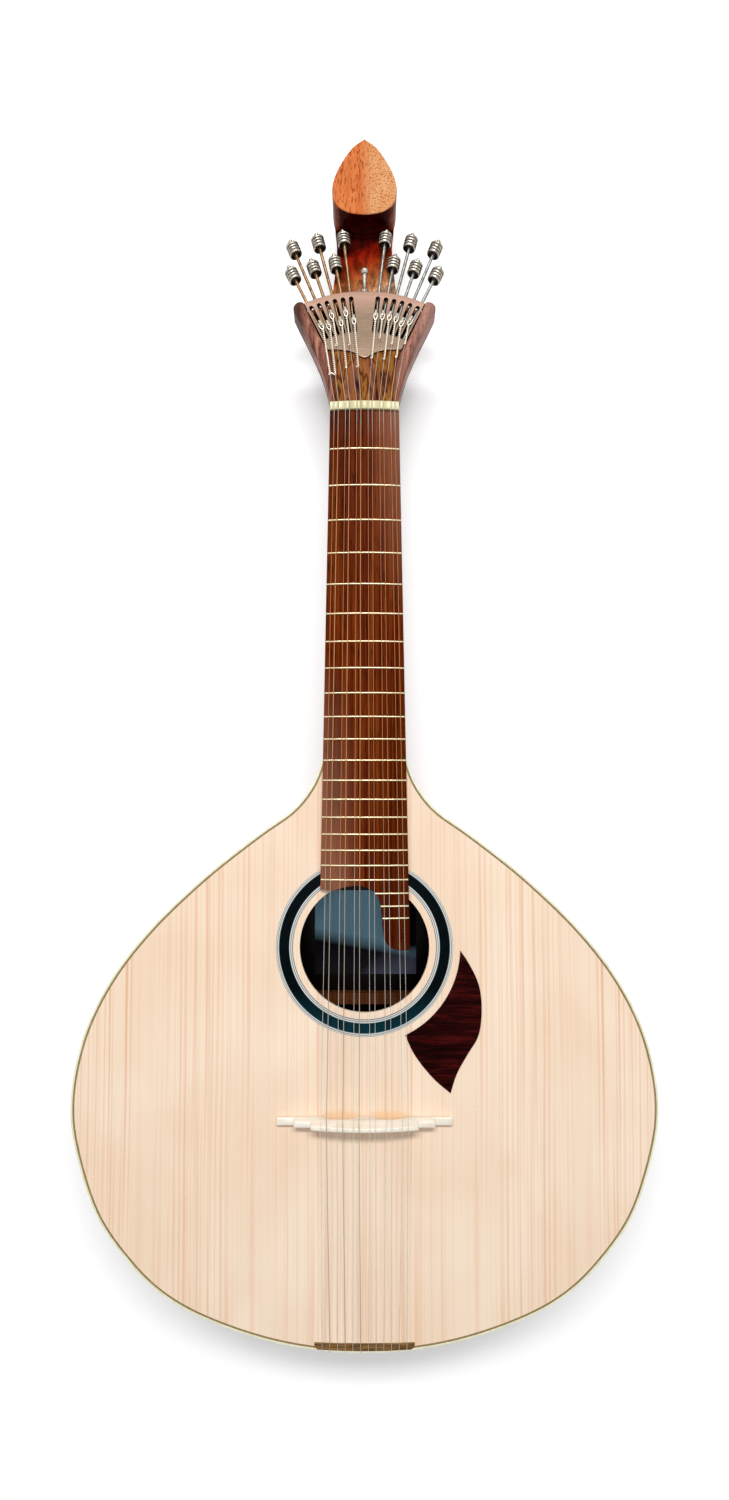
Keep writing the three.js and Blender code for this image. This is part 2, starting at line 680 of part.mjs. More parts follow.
function hornProfile() {
  const back = smooth(hornBackShares.map(hornPoint), 2 * EDGE_STEPS);
  const lip = smooth(hornLipShares.map(hornPoint), EDGE_STEPS);
  return [
    ...back,
    new THREE.Vector2(teardropTip, TEARDROP_RISE),
    ...lip,
    new THREE.Vector2(columnStart, -COLUMN_FRONT),
  ];
}

// Teardrop outline: shares of its half width and of its length from the lower lip.
const teardropShares = [
  [0, 0], [0.5, 0.032], [0.77, 0.09], [0.92, 0.16], [1, 0.3], [0.977, 0.42],
  [0.88, 0.545], [0.7, 0.69], [0.38, 0.88], [0, 1],
];

function teardropOutline() {
  const pairs = teardropShares.map(([across, along]) => [
    (across * TEARDROP_WIDTH) / 2,
    TEARDROP_START + along * TEARDROP_LENGTH,
  ]);
  const half = smooth(pairs, 2 * EDGE_STEPS);
  return [...half, ...mirrorOf(half.slice(1, -1))];
}

const columnWaistShare = 0.9;
const columnWaist = THREE.MathUtils.lerp(columnStart, TEARDROP_START, columnWaistShare);
const columnSides = smooth([
  [COLUMN_BASE_WIDTH / 2, columnStart],
  [COLUMN_BASE_WIDTH / 2, plateTopPlace],
  [COLUMN_WIDTH / 2, columnWaist],
  [(COLUMN_WIDTH + TEARDROP_WIDTH) / 4, TEARDROP_START + TEARDROP_LENGTH / 8],
], EDGE_STEPS);

const hornSolid = solid(sideProfile(hornProfile(), -HEAD_EAR_WIDTH / 2, HEAD_EAR_WIDTH / 2));
const belowHead = -HEAD_THICKNESS - COLUMN_THICKNESS;
const hornPlan = solid(prism(teardropOutline(), belowHead, TEARDROP_RISE + OVERRUN))
  .add(solid(prism(mirrored(columnSides), belowHead, -COLUMN_FRONT)));
const horn = hornSolid.intersect(hornPlan);

const headSolid = solid(slab)
  .subtract(solid(prism(sunkFace(0), 0, CHEEK_RISE + OVERRUN)))
  .subtract(solid(prism(pocketOutline(POCKET_LEDGE), -POCKET_DEPTH, CHEEK_RISE + OVERRUN)))
  .add(horn);
const headInPlace = solid(geometryOf(headSolid).applyMatrix4(head.matrix));
const nutRoom = solid(box(
  new THREE.Vector3(-earHalf, fromNut(OVERRUN), BODY_DEPTH),
  new THREE.Vector3(earHalf, fromNut(-NUT_LENGTH - CLEARANCE), nutTop + OVERRUN),
));
piece('neck', geometryOf(headInPlace.subtract(nutRoom).add(shaft)), mahogany);

// Head veneer, from the nut to the pocket
const veneerPlan = solid(prism(sunkFace(CLEARANCE * 2), CLEARANCE, CLEARANCE + VENEER_THICKNESS));
const veneerFoot = solid(box(
  new THREE.Vector3(-earHalf, -earHalf, -OVERRUN),
  new THREE.Vector3(earHalf, CLEARANCE * 2, OVERRUN),
));
const veneer = veneerPlan
  .intersect(solid(disc(-FAN_CENTRE, POCKET_START - CLEARANCE, -OVERRUN, OVERRUN)))
  .subtract(veneerFoot);
piece('head_veneer', geometryOf(veneer), veneerWood, head);

// Tuner plate: slotted fan with its arc edge folded down, and a turned post riveted in the flange
function plateOutline() {
  const angle = Math.asin(PLATE_TOP_WIDTH / 2 / PLATE_RADIUS);
  const flat = PLATE_FOOT_FLAT_WIDTH / 2;
  const dip = PLATE_FOOT_PLACE - PLATE_POINT_PLACE;
  const point = smooth([
    [-flat, PLATE_FOOT_PLACE],
    [-flat / 2, PLATE_FOOT_PLACE - dip / 3],
    [0, PLATE_POINT_PLACE],
    [flat / 2, PLATE_FOOT_PLACE - dip / 3],
    [flat, PLATE_FOOT_PLACE],
  ], EDGE_STEPS);
  const corner = new THREE.Vector2(PLATE_FOOT_WIDTH / 2, PLATE_FOOT_PLACE);
  return [...fanArc(PLATE_RADIUS, angle, -angle), new THREE.Vector2(-corner.x, corner.y), ...point, corner];
}

// The twelve tuners, from the bass side to the treble side, with each one's angle in the fan.
function fanAngles() {
  const half = [];
  for (let place = 0; place < TUNERS_PER_SIDE; place += 1) {
    half.push(FAN_FIRST_ANGLE + place * FAN_STEP_ANGLE);
  }
  return [...half.map((angle) => -angle).reverse(), ...half];
}

const angles = fanAngles();
const screwLevel = -SCREW_DEPTH;

function turnedToFan(geometry, angle) {
  return geometry.rotateZ(-angle).translate(0, -FAN_CENTRE, 0);
}

function slot(angle) {
  const half = SLOT_WIDTH / 2;
  const outline = new THREE.Shape();
  outline.absarc(0, SLOT_END - half, half, 0, Math.PI, false);
  outline.absarc(0, SLOT_START + half, half, Math.PI, 2 * Math.PI, false);
  const cutter = prism(outline, plateUnderside - OVERRUN, plateFace + OVERRUN, BORE_STEPS / 2);
  return turnedToFan(cutter, angle);
}

// Turned post: shares of its radius and of its length from the flange.
const finialShares = [
  [0, -0.02], [1, -0.02], [1, 0.06], [0.72, 0.14], [0.5, 0.26], [0.48, 0.66],
  [0.9, 0.84], [0.9, 0.92], [0.4, 0.99], [0, 1],
];

function finialProfile() {
  return finialShares.map(([out, along]) => new THREE.Vector2(
    out * FINIAL_RADIUS,
    PLATE_RADIUS + along * FINIAL_LENGTH,
  ));
}

const flangeBottom = plateUnderside - FLANGE_DROP;
const flangeInner = PLATE_RADIUS - PLATE_THICKNESS;
const flange = solid(disc(-FAN_CENTRE, PLATE_RADIUS, flangeBottom, plateUnderside + PLATE_THICKNESS / 2))
  .subtract(solid(disc(-FAN_CENTRE, flangeInner, flangeBottom - OVERRUN, plateFace)))
  .intersect(solid(prism(pocketOutline(POCKET_LEDGE + CLEARANCE), flangeBottom - OVERRUN, plateFace)));
let plate = solid(prism(plateOutline(), plateUnderside, plateFace)).add(flange);
for (const angle of angles) {
  const hole = rod(boreRadius, flangeInner - OVERRUN, PLATE_RADIUS + OVERRUN).translate(0, 0, screwLevel);
  plate = plate.subtract(solid(slot(angle))).subtract(solid(turnedToFan(hole, angle)));
}
const finial = new THREE.LatheGeometry(finialProfile(), TURNED_STEPS)
  .translate(0, -FAN_CENTRE, screwLevel);
piece('tuner_plate', geometryOf(plate.add(solid(finial))), nickel, head);

// Screws: threaded rod, collar outside the flange, ribbed barrel knob with a hollow underside
function screwProfile(knobCentre) {
  const collarStart = PLATE_RADIUS + CLEARANCE;
  const knobStart = knobCentre - KNOB_LENGTH / 2;
  const knobEnd = knobCentre + KNOB_LENGTH / 2;
  const points = [
    [0, SLOT_START - SCREW_INSET],
    [SCREW_RADIUS, SLOT_START - SCREW_INSET],
    [SCREW_RADIUS, collarStart],
    [COLLAR_RADIUS, collarStart],
    [COLLAR_RADIUS, collarStart + COLLAR_LENGTH],
    [SCREW_RADIUS, collarStart + COLLAR_LENGTH],
    [SCREW_RADIUS, knobStart + KNOB_CUP_DEPTH],
    [KNOB_RADIUS - KNOB_WALL, knobStart + KNOB_CUP_DEPTH],
    [KNOB_RADIUS - KNOB_WALL, knobStart],
  ];
  const rib = KNOB_LENGTH / KNOB_RIBS;
  for (let place = 0; place < KNOB_RIBS; place += 1) {
    points.push([KNOB_RADIUS - KNOB_GROOVE, knobStart + place * rib]);
    points.push([KNOB_RADIUS, knobStart + (place + 0.5) * rib]);
  }
  points.push([KNOB_RADIUS - 2 * KNOB_GROOVE, knobEnd]);
  points.push([KNOB_TIP_RADIUS, knobEnd + KNOB_TIP_LENGTH / 3]);
  points.push([KNOB_TIP_RADIUS, knobEnd + (2 * KNOB_TIP_LENGTH) / 3]);
  points.push([0, knobEnd + KNOB_TIP_LENGTH]);
  return points.map(([out, along]) => new THREE.Vector2(out, along));
}

function inFan(angle) {
  const group = new THREE.Group();
  group.position.set(0, -FAN_CENTRE, screwLevel);
  group.rotation.z = -angle;
  head.add(group);
  return group;
}

// Hooks: a carriage bored for the screw, and a flat hook that stands up through the slot.
// The blade's back and front are in shares of half the carriage's length, its lip of its rise.
const hookBackShare = 0.7;
const hookFrontShare = 0.5;
const hookLipShare = 0.125;

function hookProfile() {
  const low = CARRIAGE_HEIGHT / 2 - KNOB_GROOVE;
  const top = plateFace + HOOK_RISE - screwLevel;
  const back = (-CARRIAGE_LENGTH / 2) * hookBackShare;
  const front = (CARRIAGE_LENGTH / 2) * hookFrontShare;
  const throat = top - HOOK_RISE / 2;
  return [
    new THREE.Vector2(back, low),
    new THREE.Vector2(front, low),
    new THREE.Vector2(front, throat),
    new THREE.Vector2(HOOK_NOSE, throat),
    new THREE.Vector2(HOOK_NOSE, top - HOOK_RISE * hookLipShare),
    new THREE.Vector2(front, top),
    new THREE.Vector2(-front, top),
    new THREE.Vector2(back, throat),
  ];
}

function hookGeometry() {
  const carriage = solid(new THREE.BoxGeometry(CARRIAGE_WIDTH, CARRIAGE_LENGTH, CARRIAGE_HEIGHT));
  const blade = solid(sideProfile(hookProfile(), -HOOK_THICKNESS / 2, HOOK_THICKNESS / 2));
  const bore = solid(rod(boreRadius, -CARRIAGE_LENGTH, CARRIAGE_LENGTH));
  return geometryOf(carriage.add(blade).subtract(bore));
}

// Where each hook stands in its slot, as a share of its free travel from the nut end.
const hookPlaceShares = [0.34, 0.25, 0.56, 0.26, 0.56, 0.26, 0.42, 0.44, 0.45, 0.44, 0.36, 0.5];
const travelStart = SLOT_START + CARRIAGE_LENGTH / 2;
const travelEnd = SLOT_END - CARRIAGE_LENGTH / 2;
const hookRadii = hookPlaceShares.map((share) => THREE.MathUtils.lerp(travelStart, travelEnd, share));

angles.forEach((angle, place) => {
  const fromMiddle = Math.abs(place - TUNERS_PER_SIDE + 0.5) - 0.5;
  const knobCentre = fromMiddle % 2 === 0 ? LONG_KNOB_RADIUS : SHORT_KNOB_RADIUS;
  const group = inFan(angle);
  const screw = new THREE.LatheGeometry(screwProfile(knobCentre), TURNED_STEPS);
  piece(`screw_${place + 1}`, screw, agedNickel, group);
  const hook = piece(`hook_${place + 1}`, hookGeometry(), steel, group);
  hook.position.y = hookRadii[place];
});

// Bridge: stepped front view with two arched openings and a crest cambered like the board,
// thinned towards its top
function bridgeView() {
  const shape = new THREE.Shape();
  const foot = BODY_DEPTH;
  const half = BRIDGE_LENGTH / 2;
  shape.moveTo(-half, foot);
  for (const side of [-1, 1]) {
    const middle = side * BRIDGE_ARCH_PLACE;
    shape.lineTo(middle - BRIDGE_ARCH_WIDTH / 2, foot);
    shape.absellipse(middle, foot, BRIDGE_ARCH_WIDTH / 2, BRIDGE_ARCH_HEIGHT, Math.PI, 0, true, 0);
  }
  shape.lineTo(half, foot);
  shape.lineTo(half, foot + BRIDGE_END_HEIGHT);
  shape.lineTo(BRIDGE_STEP / 2, foot + BRIDGE_END_HEIGHT);
  shape.lineTo(BRIDGE_STEP / 2, foot + BRIDGE_STEP_HEIGHT);
  shape.lineTo(BRIDGE_CREST / 2, foot + BRIDGE_STEP_HEIGHT);
  for (let step = 0; step <= CAMBER_STEPS; step += 1) {
    const x = THREE.MathUtils.lerp(BRIDGE_CREST / 2, -BRIDGE_CREST / 2, step / CAMBER_STEPS);
    shape.lineTo(x, bridgeTop - camber(x));
  }
  shape.lineTo(-BRIDGE_CREST / 2, foot + BRIDGE_STEP_HEIGHT);
  shape.lineTo(-BRIDGE_STEP / 2, foot + BRIDGE_STEP_HEIGHT);
  shape.lineTo(-BRIDGE_STEP / 2, foot + BRIDGE_END_HEIGHT);
  shape.lineTo(-half, foot + BRIDGE_END_HEIGHT);
  return shape;
}

const bridgeSide = [
  new THREE.Vector2(BRIDGE_THICKNESS - BRIDGE_TOP_THICKNESS / 2, BODY_DEPTH),
  new THREE.Vector2(BRIDGE_THICKNESS - BRIDGE_TOP_THICKNESS / 2, BODY_DEPTH + BRIDGE_FOOT_HEIGHT),
  new THREE.Vector2(BRIDGE_TOP_THICKNESS / 2, bridgeTop),
  new THREE.Vector2(-BRIDGE_TOP_THICKNESS / 2, bridgeTop),
  new THREE.Vector2(-BRIDGE_TOP_THICKNESS / 2, BODY_DEPTH),
];
const bridge = solid(frontProfile(bridgeView(), -BRIDGE_THICKNESS, BRIDGE_THICKNESS))
  .intersect(solid(sideProfile(bridgeSide, -BRIDGE_LENGTH, BRIDGE_LENGTH)));
piece('bridge', geometryOf(bridge), bone);

// Tail strip: saddle let into the top's edge, its outer side following the rim
const stripBox = solid(stripNotch(0));
const stripTop = topUnderside + TAIL_STRIP_HEIGHT;
const strip = solid(prism(rimAt(TAIL_EDGE_WIDTH + CLEARANCE), topUnderside, stripTop)).intersect(stripBox);
piece('tail_strip', geometryOf(strip), rosewood);

// Tail plate: bent metal strip on the tail end of the ribs, with a pin for each string
const plateTop = BODY_DEPTH - TAIL_PLATE_DROP;
const tailSpan = solid(box(
  new THREE.Vector3(-TAIL_PLATE_WIDTH / 2, fromNut(bodyEnd + BODY_DEPTH), 0),
  new THREE.Vector3(TAIL_PLATE_WIDTH / 2, fromNut(bodyEnd - TAIL_PLATE_WIDTH), boardTop),
));
const tailPlateOuter = -CLEARANCE - TAIL_PLATE_THICKNESS;
let tailPlate = solid(rimStrip(tailPlateOuter, -CLEARANCE, plateTop - TAIL_PLATE_HEIGHT, plateTop))
  .intersect(tailSpan);
const pinLevel = plateTop - TAIL_PLATE_HEIGHT / 2;
const pinEnd = fromNut(bodyEnd + CLEARANCE + TAIL_PLATE_THICKNESS + TAIL_PIN_LENGTH);

function tailX(place) {
  return (place - (stringCount - 1) / 2) * TAIL_STRING_SPACING;
}

for (let place = 0; place < stringCount; place += 1) {
  const pin = rod(TAIL_PIN_RADIUS, pinEnd, fromNut(bodyEnd - RIB_THICKNESS), TURNED_STEPS)
    .translate(tailX(place), 0, pinLevel);
  tailPlate = tailPlate.add(solid(pin));
}
const outsideRim = solid(prism(rimAt(-CLEARANCE), -OVERRUN, boardTop));
piece('tail_plate', geometryOf(tailPlate.subtract(outsideRim)), steel);

// Strings: six double courses, each one unbroken from its tail pin to its hook
function courseX(place, courseSpacing, pairSpacing) {
  const course = Math.floor(place / courseStrings);
  const side = place % courseStrings === 0 ? -1 : 1;
  return (course - (COURSES - 1) / 2) * courseSpacing + (side * pairSpacing) / 2;
}

// A wire bent through a list of points, mitred at each bend and closed at both ends.
function wire(route, radius) {
  const rings = route.map((point, place) => {
    const before = route[Math.max(place - 1, 0)];
    const after = route[Math.min(place + 1, route.length - 1)];
    const arriving = point.clone().sub(before).normalize();
    const leaving = after.clone().sub(point).normalize();
    const along = arriving.add(leaving).normalize();
    const across = new THREE.Vector3(1, 0, 0).cross(along).normalize();
    const side = along.clone().cross(across).normalize();
    const ring = [];
    for (let step = 0; step < WIRE_SIDES; step += 1) {
      const angle = (2 * Math.PI * step) / WIRE_SIDES;
      ring.push(point.clone()
        .addScaledVector(across, radius * Math.cos(angle))
        .addScaledVector(side, radius * Math.sin(angle)));
    }
    return ring;
  });
  return skin(rings);
}

function hookCatch(place) {
  const fan = fanPoint(hookRadii[place] - CARRIAGE_LENGTH / 2, angles[place]);
  const level = plateFace + HOOK_RISE / 2;
  return new THREE.Vector3(fan.x, fan.y, level).applyMatrix4(head.matrix);
}

function stringRoute(place, radius) {
  const lift = CLEARANCE + radius;
  const tail = tailX(place);
  const tailY = fromNut(bodyEnd + CLEARANCE + TAIL_PLATE_THICKNESS + TAIL_PIN_LENGTH / 2);
  const edgeY = fromNut(bodyEnd + lift);
  const atBridge = courseX(place, BRIDGE_COURSE_SPACING, BRIDGE_PAIR_SPACING);
  const atNut = courseX(place, NUT_COURSE_SPACING, NUT_PAIR_SPACING);
  const nutLevel = nutTop - camber(atNut) + lift;
  const bridgeLevel = bridgeTop - camber(atBridge) + lift;
  return [
    new THREE.Vector3(tail, tailY, pinLevel + TAIL_PIN_RADIUS + lift),
    new THREE.Vector3(tail, tailY, plateTop),
    new THREE.Vector3(tail, edgeY, topUnderside + radius),
    new THREE.Vector3(tail, edgeY + radius, stripTop + lift),
    new THREE.Vector3(tail, fromNut(bodyEnd - TAIL_STRIP_LENGTH), stripTop + lift + radius),
    new THREE.Vector3(atBridge, fromNut(SCALE_LENGTH) - BRIDGE_TOP_THICKNESS / 2, bridgeLevel),
    new THREE.Vector3(atBridge, fromNut(SCALE_LENGTH) + BRIDGE_TOP_THICKNESS / 2, bridgeLevel),
    new THREE.Vector3(atNut, fromNut(0), nutLevel),
    new THREE.Vector3(atNut, fromNut(-NUT_LENGTH), nutLevel),
    hookCatch(place),
  ];
}

for (let place = 0; place < stringCount; place += 1) {
  const wound = place < BASS_COURSES * courseStrings && place % courseStrings === 1;
  const radius = wound ? WOUND_STRING_RADIUS : PLAIN_STRING_RADIUS;
  piece(`string_${place + 1}`, wire(stringRoute(place, radius), radius), steel);
}

export default guitar;
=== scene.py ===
import math

import bmesh
import bpy
from mathutils import Matrix, Vector
from mathutils.geometry import tessellate_polygon


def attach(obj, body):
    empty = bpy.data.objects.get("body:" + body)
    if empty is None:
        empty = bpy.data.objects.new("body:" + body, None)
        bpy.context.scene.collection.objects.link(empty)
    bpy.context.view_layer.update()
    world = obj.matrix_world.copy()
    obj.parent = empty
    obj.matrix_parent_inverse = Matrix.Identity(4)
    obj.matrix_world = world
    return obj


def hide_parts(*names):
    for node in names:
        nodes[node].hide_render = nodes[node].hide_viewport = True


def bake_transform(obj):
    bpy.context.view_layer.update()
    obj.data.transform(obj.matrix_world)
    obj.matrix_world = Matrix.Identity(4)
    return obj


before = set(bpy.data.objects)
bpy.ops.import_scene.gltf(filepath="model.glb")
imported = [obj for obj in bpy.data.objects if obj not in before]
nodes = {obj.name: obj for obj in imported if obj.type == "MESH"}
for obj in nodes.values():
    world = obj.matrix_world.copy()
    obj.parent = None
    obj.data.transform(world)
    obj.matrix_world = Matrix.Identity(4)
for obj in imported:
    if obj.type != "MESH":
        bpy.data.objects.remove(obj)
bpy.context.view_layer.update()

# The back: a flat plate of walnut, planed to 3 mm and French polished outside.
# It follows the body's pear-shaped rim, and everything else of the body is set out from that line.
# Every size below is in millimetres, and a piece's mesh is turned to metres when it is made.
MM = 0.001
BODY_START = 235.0
BODY_LENGTH = 380.5
BODY_HALF = 191.2
BODY_DEPTH = 85.0
BACK_THICKNESS = 3.0
TOP_UNDERSIDE = 82.2
BINDING_WIDTH = 2.5
RIM_STEPS = 224
EDGE_STEPS = 2
OUTLINE_SHARES = [
    (0.147, 0), (0.178, 0.04), (0.241, 0.0825), (0.354, 0.124), (0.464, 0.166), (0.563, 0.207),
    (0.732, 0.289), (0.86, 0.371), (0.945, 0.453), (0.99, 0.535), (1, 0.6), (0.986, 0.655),
    (0.906, 0.7745), (0.791, 0.854), (0.689, 0.902), (0.553, 0.941), (0.284, 0.985),
]


def smooth_line(knots, steps):
    """Points evenly spaced along a smooth curve through the knots."""
    way = [Vector(knot) for knot in knots]
    way = [2 * way[0] - way[1]] + way + [2 * way[-1] - way[-2]]
    dense = []
    for a, b, c, d in zip(way, way[1:], way[2:], way[3:]):
        p, q, r = (max((u - w).length, 1e-6) ** 0.5 for u, w in ((b, a), (c, b), (d, c)))
        leave = ((b - a) / p - (c - a) / (p + q) + (c - b) / q) * q
        arrive = ((c - b) / q - (d - b) / (q + r) + (d - c) / r) * q
        for step in range(24):
            t = step / 24
            dense.append((2 * t ** 3 - 3 * t ** 2 + 1) * b + (t ** 3 - 2 * t ** 2 + t) * leave
                         + (3 * t ** 2 - 2 * t ** 3) * c + (t ** 3 - t ** 2) * arrive)
    dense.append(way[-2])
    reach = [0.0]
    for before, after in zip(dense, dense[1:]):
        reach.append(reach[-1] + (after - before).length)
    points, place = [], 0
    for step in range(steps + 1):
        goal = reach[-1] * step / steps
        while place < len(dense) - 2 and reach[place + 1] < goal:
            place += 1
        share = (goal - reach[place]) / max(reach[place + 1] - reach[place], 1e-9)
        points.append(dense[place].lerp(dense[place + 1], min(share, 1)))
    return points


treble_rim = [(across * BODY_HALF, BODY_START - along * BODY_LENGTH) for across, along in OUTLINE_SHARES]
bass_rim = [(-x, y) for x, y in reversed(treble_rim)]
rim_line = smooth_line(treble_rim + [(0, BODY_START - BODY_LENGTH)] + bass_rim, RIM_STEPS)


def rim(inset):
    """The body's outline, from the treble side of the neck round the tail, moved inwards."""
    points = []
    for place, point in enumerate(rim_line):
        along = rim_line[min(place + 1, RIM_STEPS)] - rim_line[max(place - 1, 0)]
        inwards = Vector((along.y, -along.x)).normalized()
        if place in (0, RIM_STEPS):
            points.append(Vector((point.x + inset / inwards.x, point.y)))
        else:
            points.append(point + inset * inwards)
    return points


def raised(loops, low, high, soft=0.0):
    """A plate with its holes, raised from one height to another, its edges rounded by soft."""
    corners, faces, rows, outlines = [], [], [], []
    for place, loop in enumerate(loops):
        area = sum(a.x * b.y - b.x * a.y for a, b in zip(loop, loop[1:] + loop[:1]))
        outlines.append(loop if (area > 0) == (place == 0) else loop[::-1])
    levels = [(0.0, low), (0.0, high)]
    if soft:
        bend = [math.pi / 2 * step / EDGE_STEPS for step in range(EDGE_STEPS + 1)]
        levels = [(soft * (1 - math.sin(a)), low + soft * (1 - math.cos(a))) for a in bend]
        levels += [(inset, low + high - level) for inset, level in reversed(levels)]
    for inset, level in levels:
        row = []
        for loop in outlines:
            ring = []
            for before, here, after in zip(loop[-1:] + loop[:-1], loop, loop[1:] + loop[:1]):
                arriving, leaving = (here - before).normalized(), (after - here).normalized()
                across = Vector((-arriving.y, arriving.x))
                middle = (across + Vector((-leaving.y, leaving.x))).normalized()
                moved = here + middle * (inset / max(middle.dot(across), 0.4))
                ring.append(len(corners))
                corners.append((moved.x, moved.y, level))
            row.append(ring)
        rows.append(row)
    holes = []
    for lower, upper in zip(rows, rows[1:]):
        for place, (under, over) in enumerate(zip(lower, upper)):
            for i in range(len(under)):
                j = (i + 1) % len(under)
                holes += [len(faces)] if place else []
                faces.append((under[i], under[j], over[j], over[i]))
    for row, flip in ((rows[0], -1), (rows[-1], 1)):
        flat = [index for ring in row for index in ring]
        for face in tessellate_polygon([[Vector(corners[index]) for index in ring] for ring in row]):
            a, b, c = (Vector(corners[flat[i]]) for i in face)
            up = (b - a).cross(c - a).z * flip > 0
            faces.append(tuple(flat[i] for i in (face if up else face[::-1])))
    return corners, faces, holes


def placed(name, data):
    """A new object of the scene, from a mesh, a lamp or a camera."""
    made = bpy.data.objects.new(name, data)
    bpy.context.scene.collection.objects.link(made)
    return made


def smoothed(mesh, edge):
    """Shades a mesh smooth, except at edges sharper than an angle in degrees."""
    mesh.shade_smooth()
    mesh.set_sharp_from_angle(angle=math.radians(edge))


def shaped(name, shape, place=Matrix(), edge=35):
    """A piece from its points in millimetres. The faces that it lists last take its second material."""
    corners, faces, others = shape
    mesh = bpy.data.meshes.new(name)
    mesh.from_pydata([place @ (Vector(corner) * MM) for corner in corners], [], faces)
    for face in others:
        mesh.polygons[face].material_index = 1
    made = bmesh.new()
    made.from_mesh(mesh)
    bmesh.ops.remove_doubles(made, verts=made.verts, dist=1e-7)
    bmesh.ops.recalc_face_normals(made, faces=made.faces)
    made.to_mesh(mesh)
    made.free()
    smoothed(mesh, edge)
    piece = placed(name, mesh)
    weights = piece.modifiers.new("flat faces stay flat", "WEIGHTED_NORMAL")
    weights.keep_sharp = True
    return piece


def fitted(piece, body, slot, materials, *stands_for):
    """Finishes a piece, fixes it to the body it moves with, and hides the plain solids it stands for."""
    for material in materials:
        piece.data.materials.append(material)
    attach(piece, body)
    if stands_for:
        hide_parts(*stands_for)
    return piece


def linear(code):
    """An sRGB hex colour as the linear values that shaders take. Anything else stays as it is."""
    if not isinstance(code, str):
        return code
    channels = [int(code[i:i + 2], 16) / 255 for i in (1, 3, 5)]
    return (*(c / 12.92 if c <= 0.04045 else ((c + 0.055) / 1.055) ** 2.4 for c in channels), 1.0)


def add(tree, kind, inputs=None, stops=None, **settings):
    """Adds a node with its settings, its values or links, and its ramp's stops."""
    made = tree.nodes.new("ShaderNode" + kind)
    for name, value in settings.items():
        setattr(made, name, value)
    for name, value in (inputs or {}).items():
        if isinstance(value, bpy.types.Node):
            value = value.outputs[0]
        if isinstance(value, bpy.types.NodeSocket):
            tree.links.new(value, made.inputs[name])
        else:
            made.inputs[name].default_value = linear(value)
    if stops:
        ramp = made.color_ramp
        ramp.elements.remove(ramp.elements[1])
        ramp.elements[0].position, ramp.elements[0].color = stops[0][0], linear(stops[0][1])
        for spot, shade in stops[1:]:
            ramp.elements.new(spot).color = linear(shade)
    return made


def feed(node, surface, socket):
    """Links a node to one of the surface's inputs."""
    surface.id_data.links.new(node.outputs[0], surface.inputs[socket])


def whereabouts(tree):
    """Where a point lies on the whole object: all at once, and as its x, y and z."""
    spot = add(tree, "TexCoord").outputs["Object"]
    return spot, *add(tree, "SeparateXYZ", {0: spot}).outputs


BLACK, WHITE = "#000000", "#ffffff"


def new_finish(name, **values):
    """A new material, its tree, and its surface with the values that are the same all over."""
    made = bpy.data.materials.new(name)
    made.use_nodes = True
    surface = made.node_tree.nodes["Principled BSDF"]
    for socket, value in values.items():
        surface.inputs[socket.replace("_", " ")].default_value = linear(value)
    return made, made.node_tree, surface


def reopened(material):
    """A finished material's tree, its surface, and the colour that it has so far."""
    surface = material.node_tree.nodes["Principled BSDF"]
    return material.node_tree, surface, surface.inputs["Base Color"].links[0].from_socket


def figure(tree, across, along, grain="Y", warp=0.5, detail=4.0):
    """A wood's figure: soft streaks that are so wide across the grain and so long along it."""
    place = add(tree, "TexCoord").outputs["Object"]
    scale = [1 / MM / (along if axis == grain else across) for axis in "XYZ"]
    stretched = add(tree, "VectorMath", {0: place, 1: scale}, operation="MULTIPLY")
    return add(tree, "TexNoise", {"Vector": stretched, "Scale": 1.0, "Detail": detail, "Roughness": 0.6,
                                  "Distortion": warp})


PORE_DEPTH = 0.05


def wood(name, tones, across, along, pore, grain="Y", **values):
    """A wood's finish: three tones along its figure, darkened in its pores, which also dent it."""
    made, tree, surface = new_finish(name, **values)
    tone = add(tree, "ValToRGB", {0: figure(tree, across, along, grain)},
               list(zip((0.32, 0.5, 0.68), tones)))
    pores = add(tree, "ValToRGB", {0: figure(tree, pore, pore * 26, grain, 0.1, 2.0)},
                [(0.56, BLACK), (0.68, WHITE)])
    dark = add(tree, "MixRGB", {0: pores, 1: tone, 2: tones[3]})
    feed(dark, surface, "Base Color")
    dent = add(tree, "Bump", {"Height": pores, "Strength": 0.25, "Distance": PORE_DEPTH * MM}, invert=True)
    feed(dent, surface, "Normal")
    return made


# Walnut, flat sawn: brown with darker streaks 5 mm apart and fine pores, under a thin hard gloss.
polished_walnut = wood("polished_walnut_back", ("#3d2417", "#63402a", "#7d543a", "#2a170e"), 5, 160, 0.5,
                       Roughness=0.3, Specular_IOR_Level=0.05)
# Inside, the same wood was left unpolished, and its inner face is painted nearly black as the shade inside
# the body.
SHADED_INSIDE_LEVEL = 2.9
tree, surface, outside = reopened(polished_walnut)
place, x, y, z = whereabouts(tree)
inside = add(tree, "Math", {0: z, 1: SHADED_INSIDE_LEVEL * MM}, operation="GREATER_THAN")
shade = add(tree, "MixRGB", {0: inside, 1: outside, 2: "#0c0604"})
feed(shade, surface, "Base Color")
back = shaped("walnut_back", raised([rim(BINDING_WIDTH)], 0, BACK_THICKNESS, 0.3))
fitted(back, "root", "rib_wood", [polished_walnut], "back")

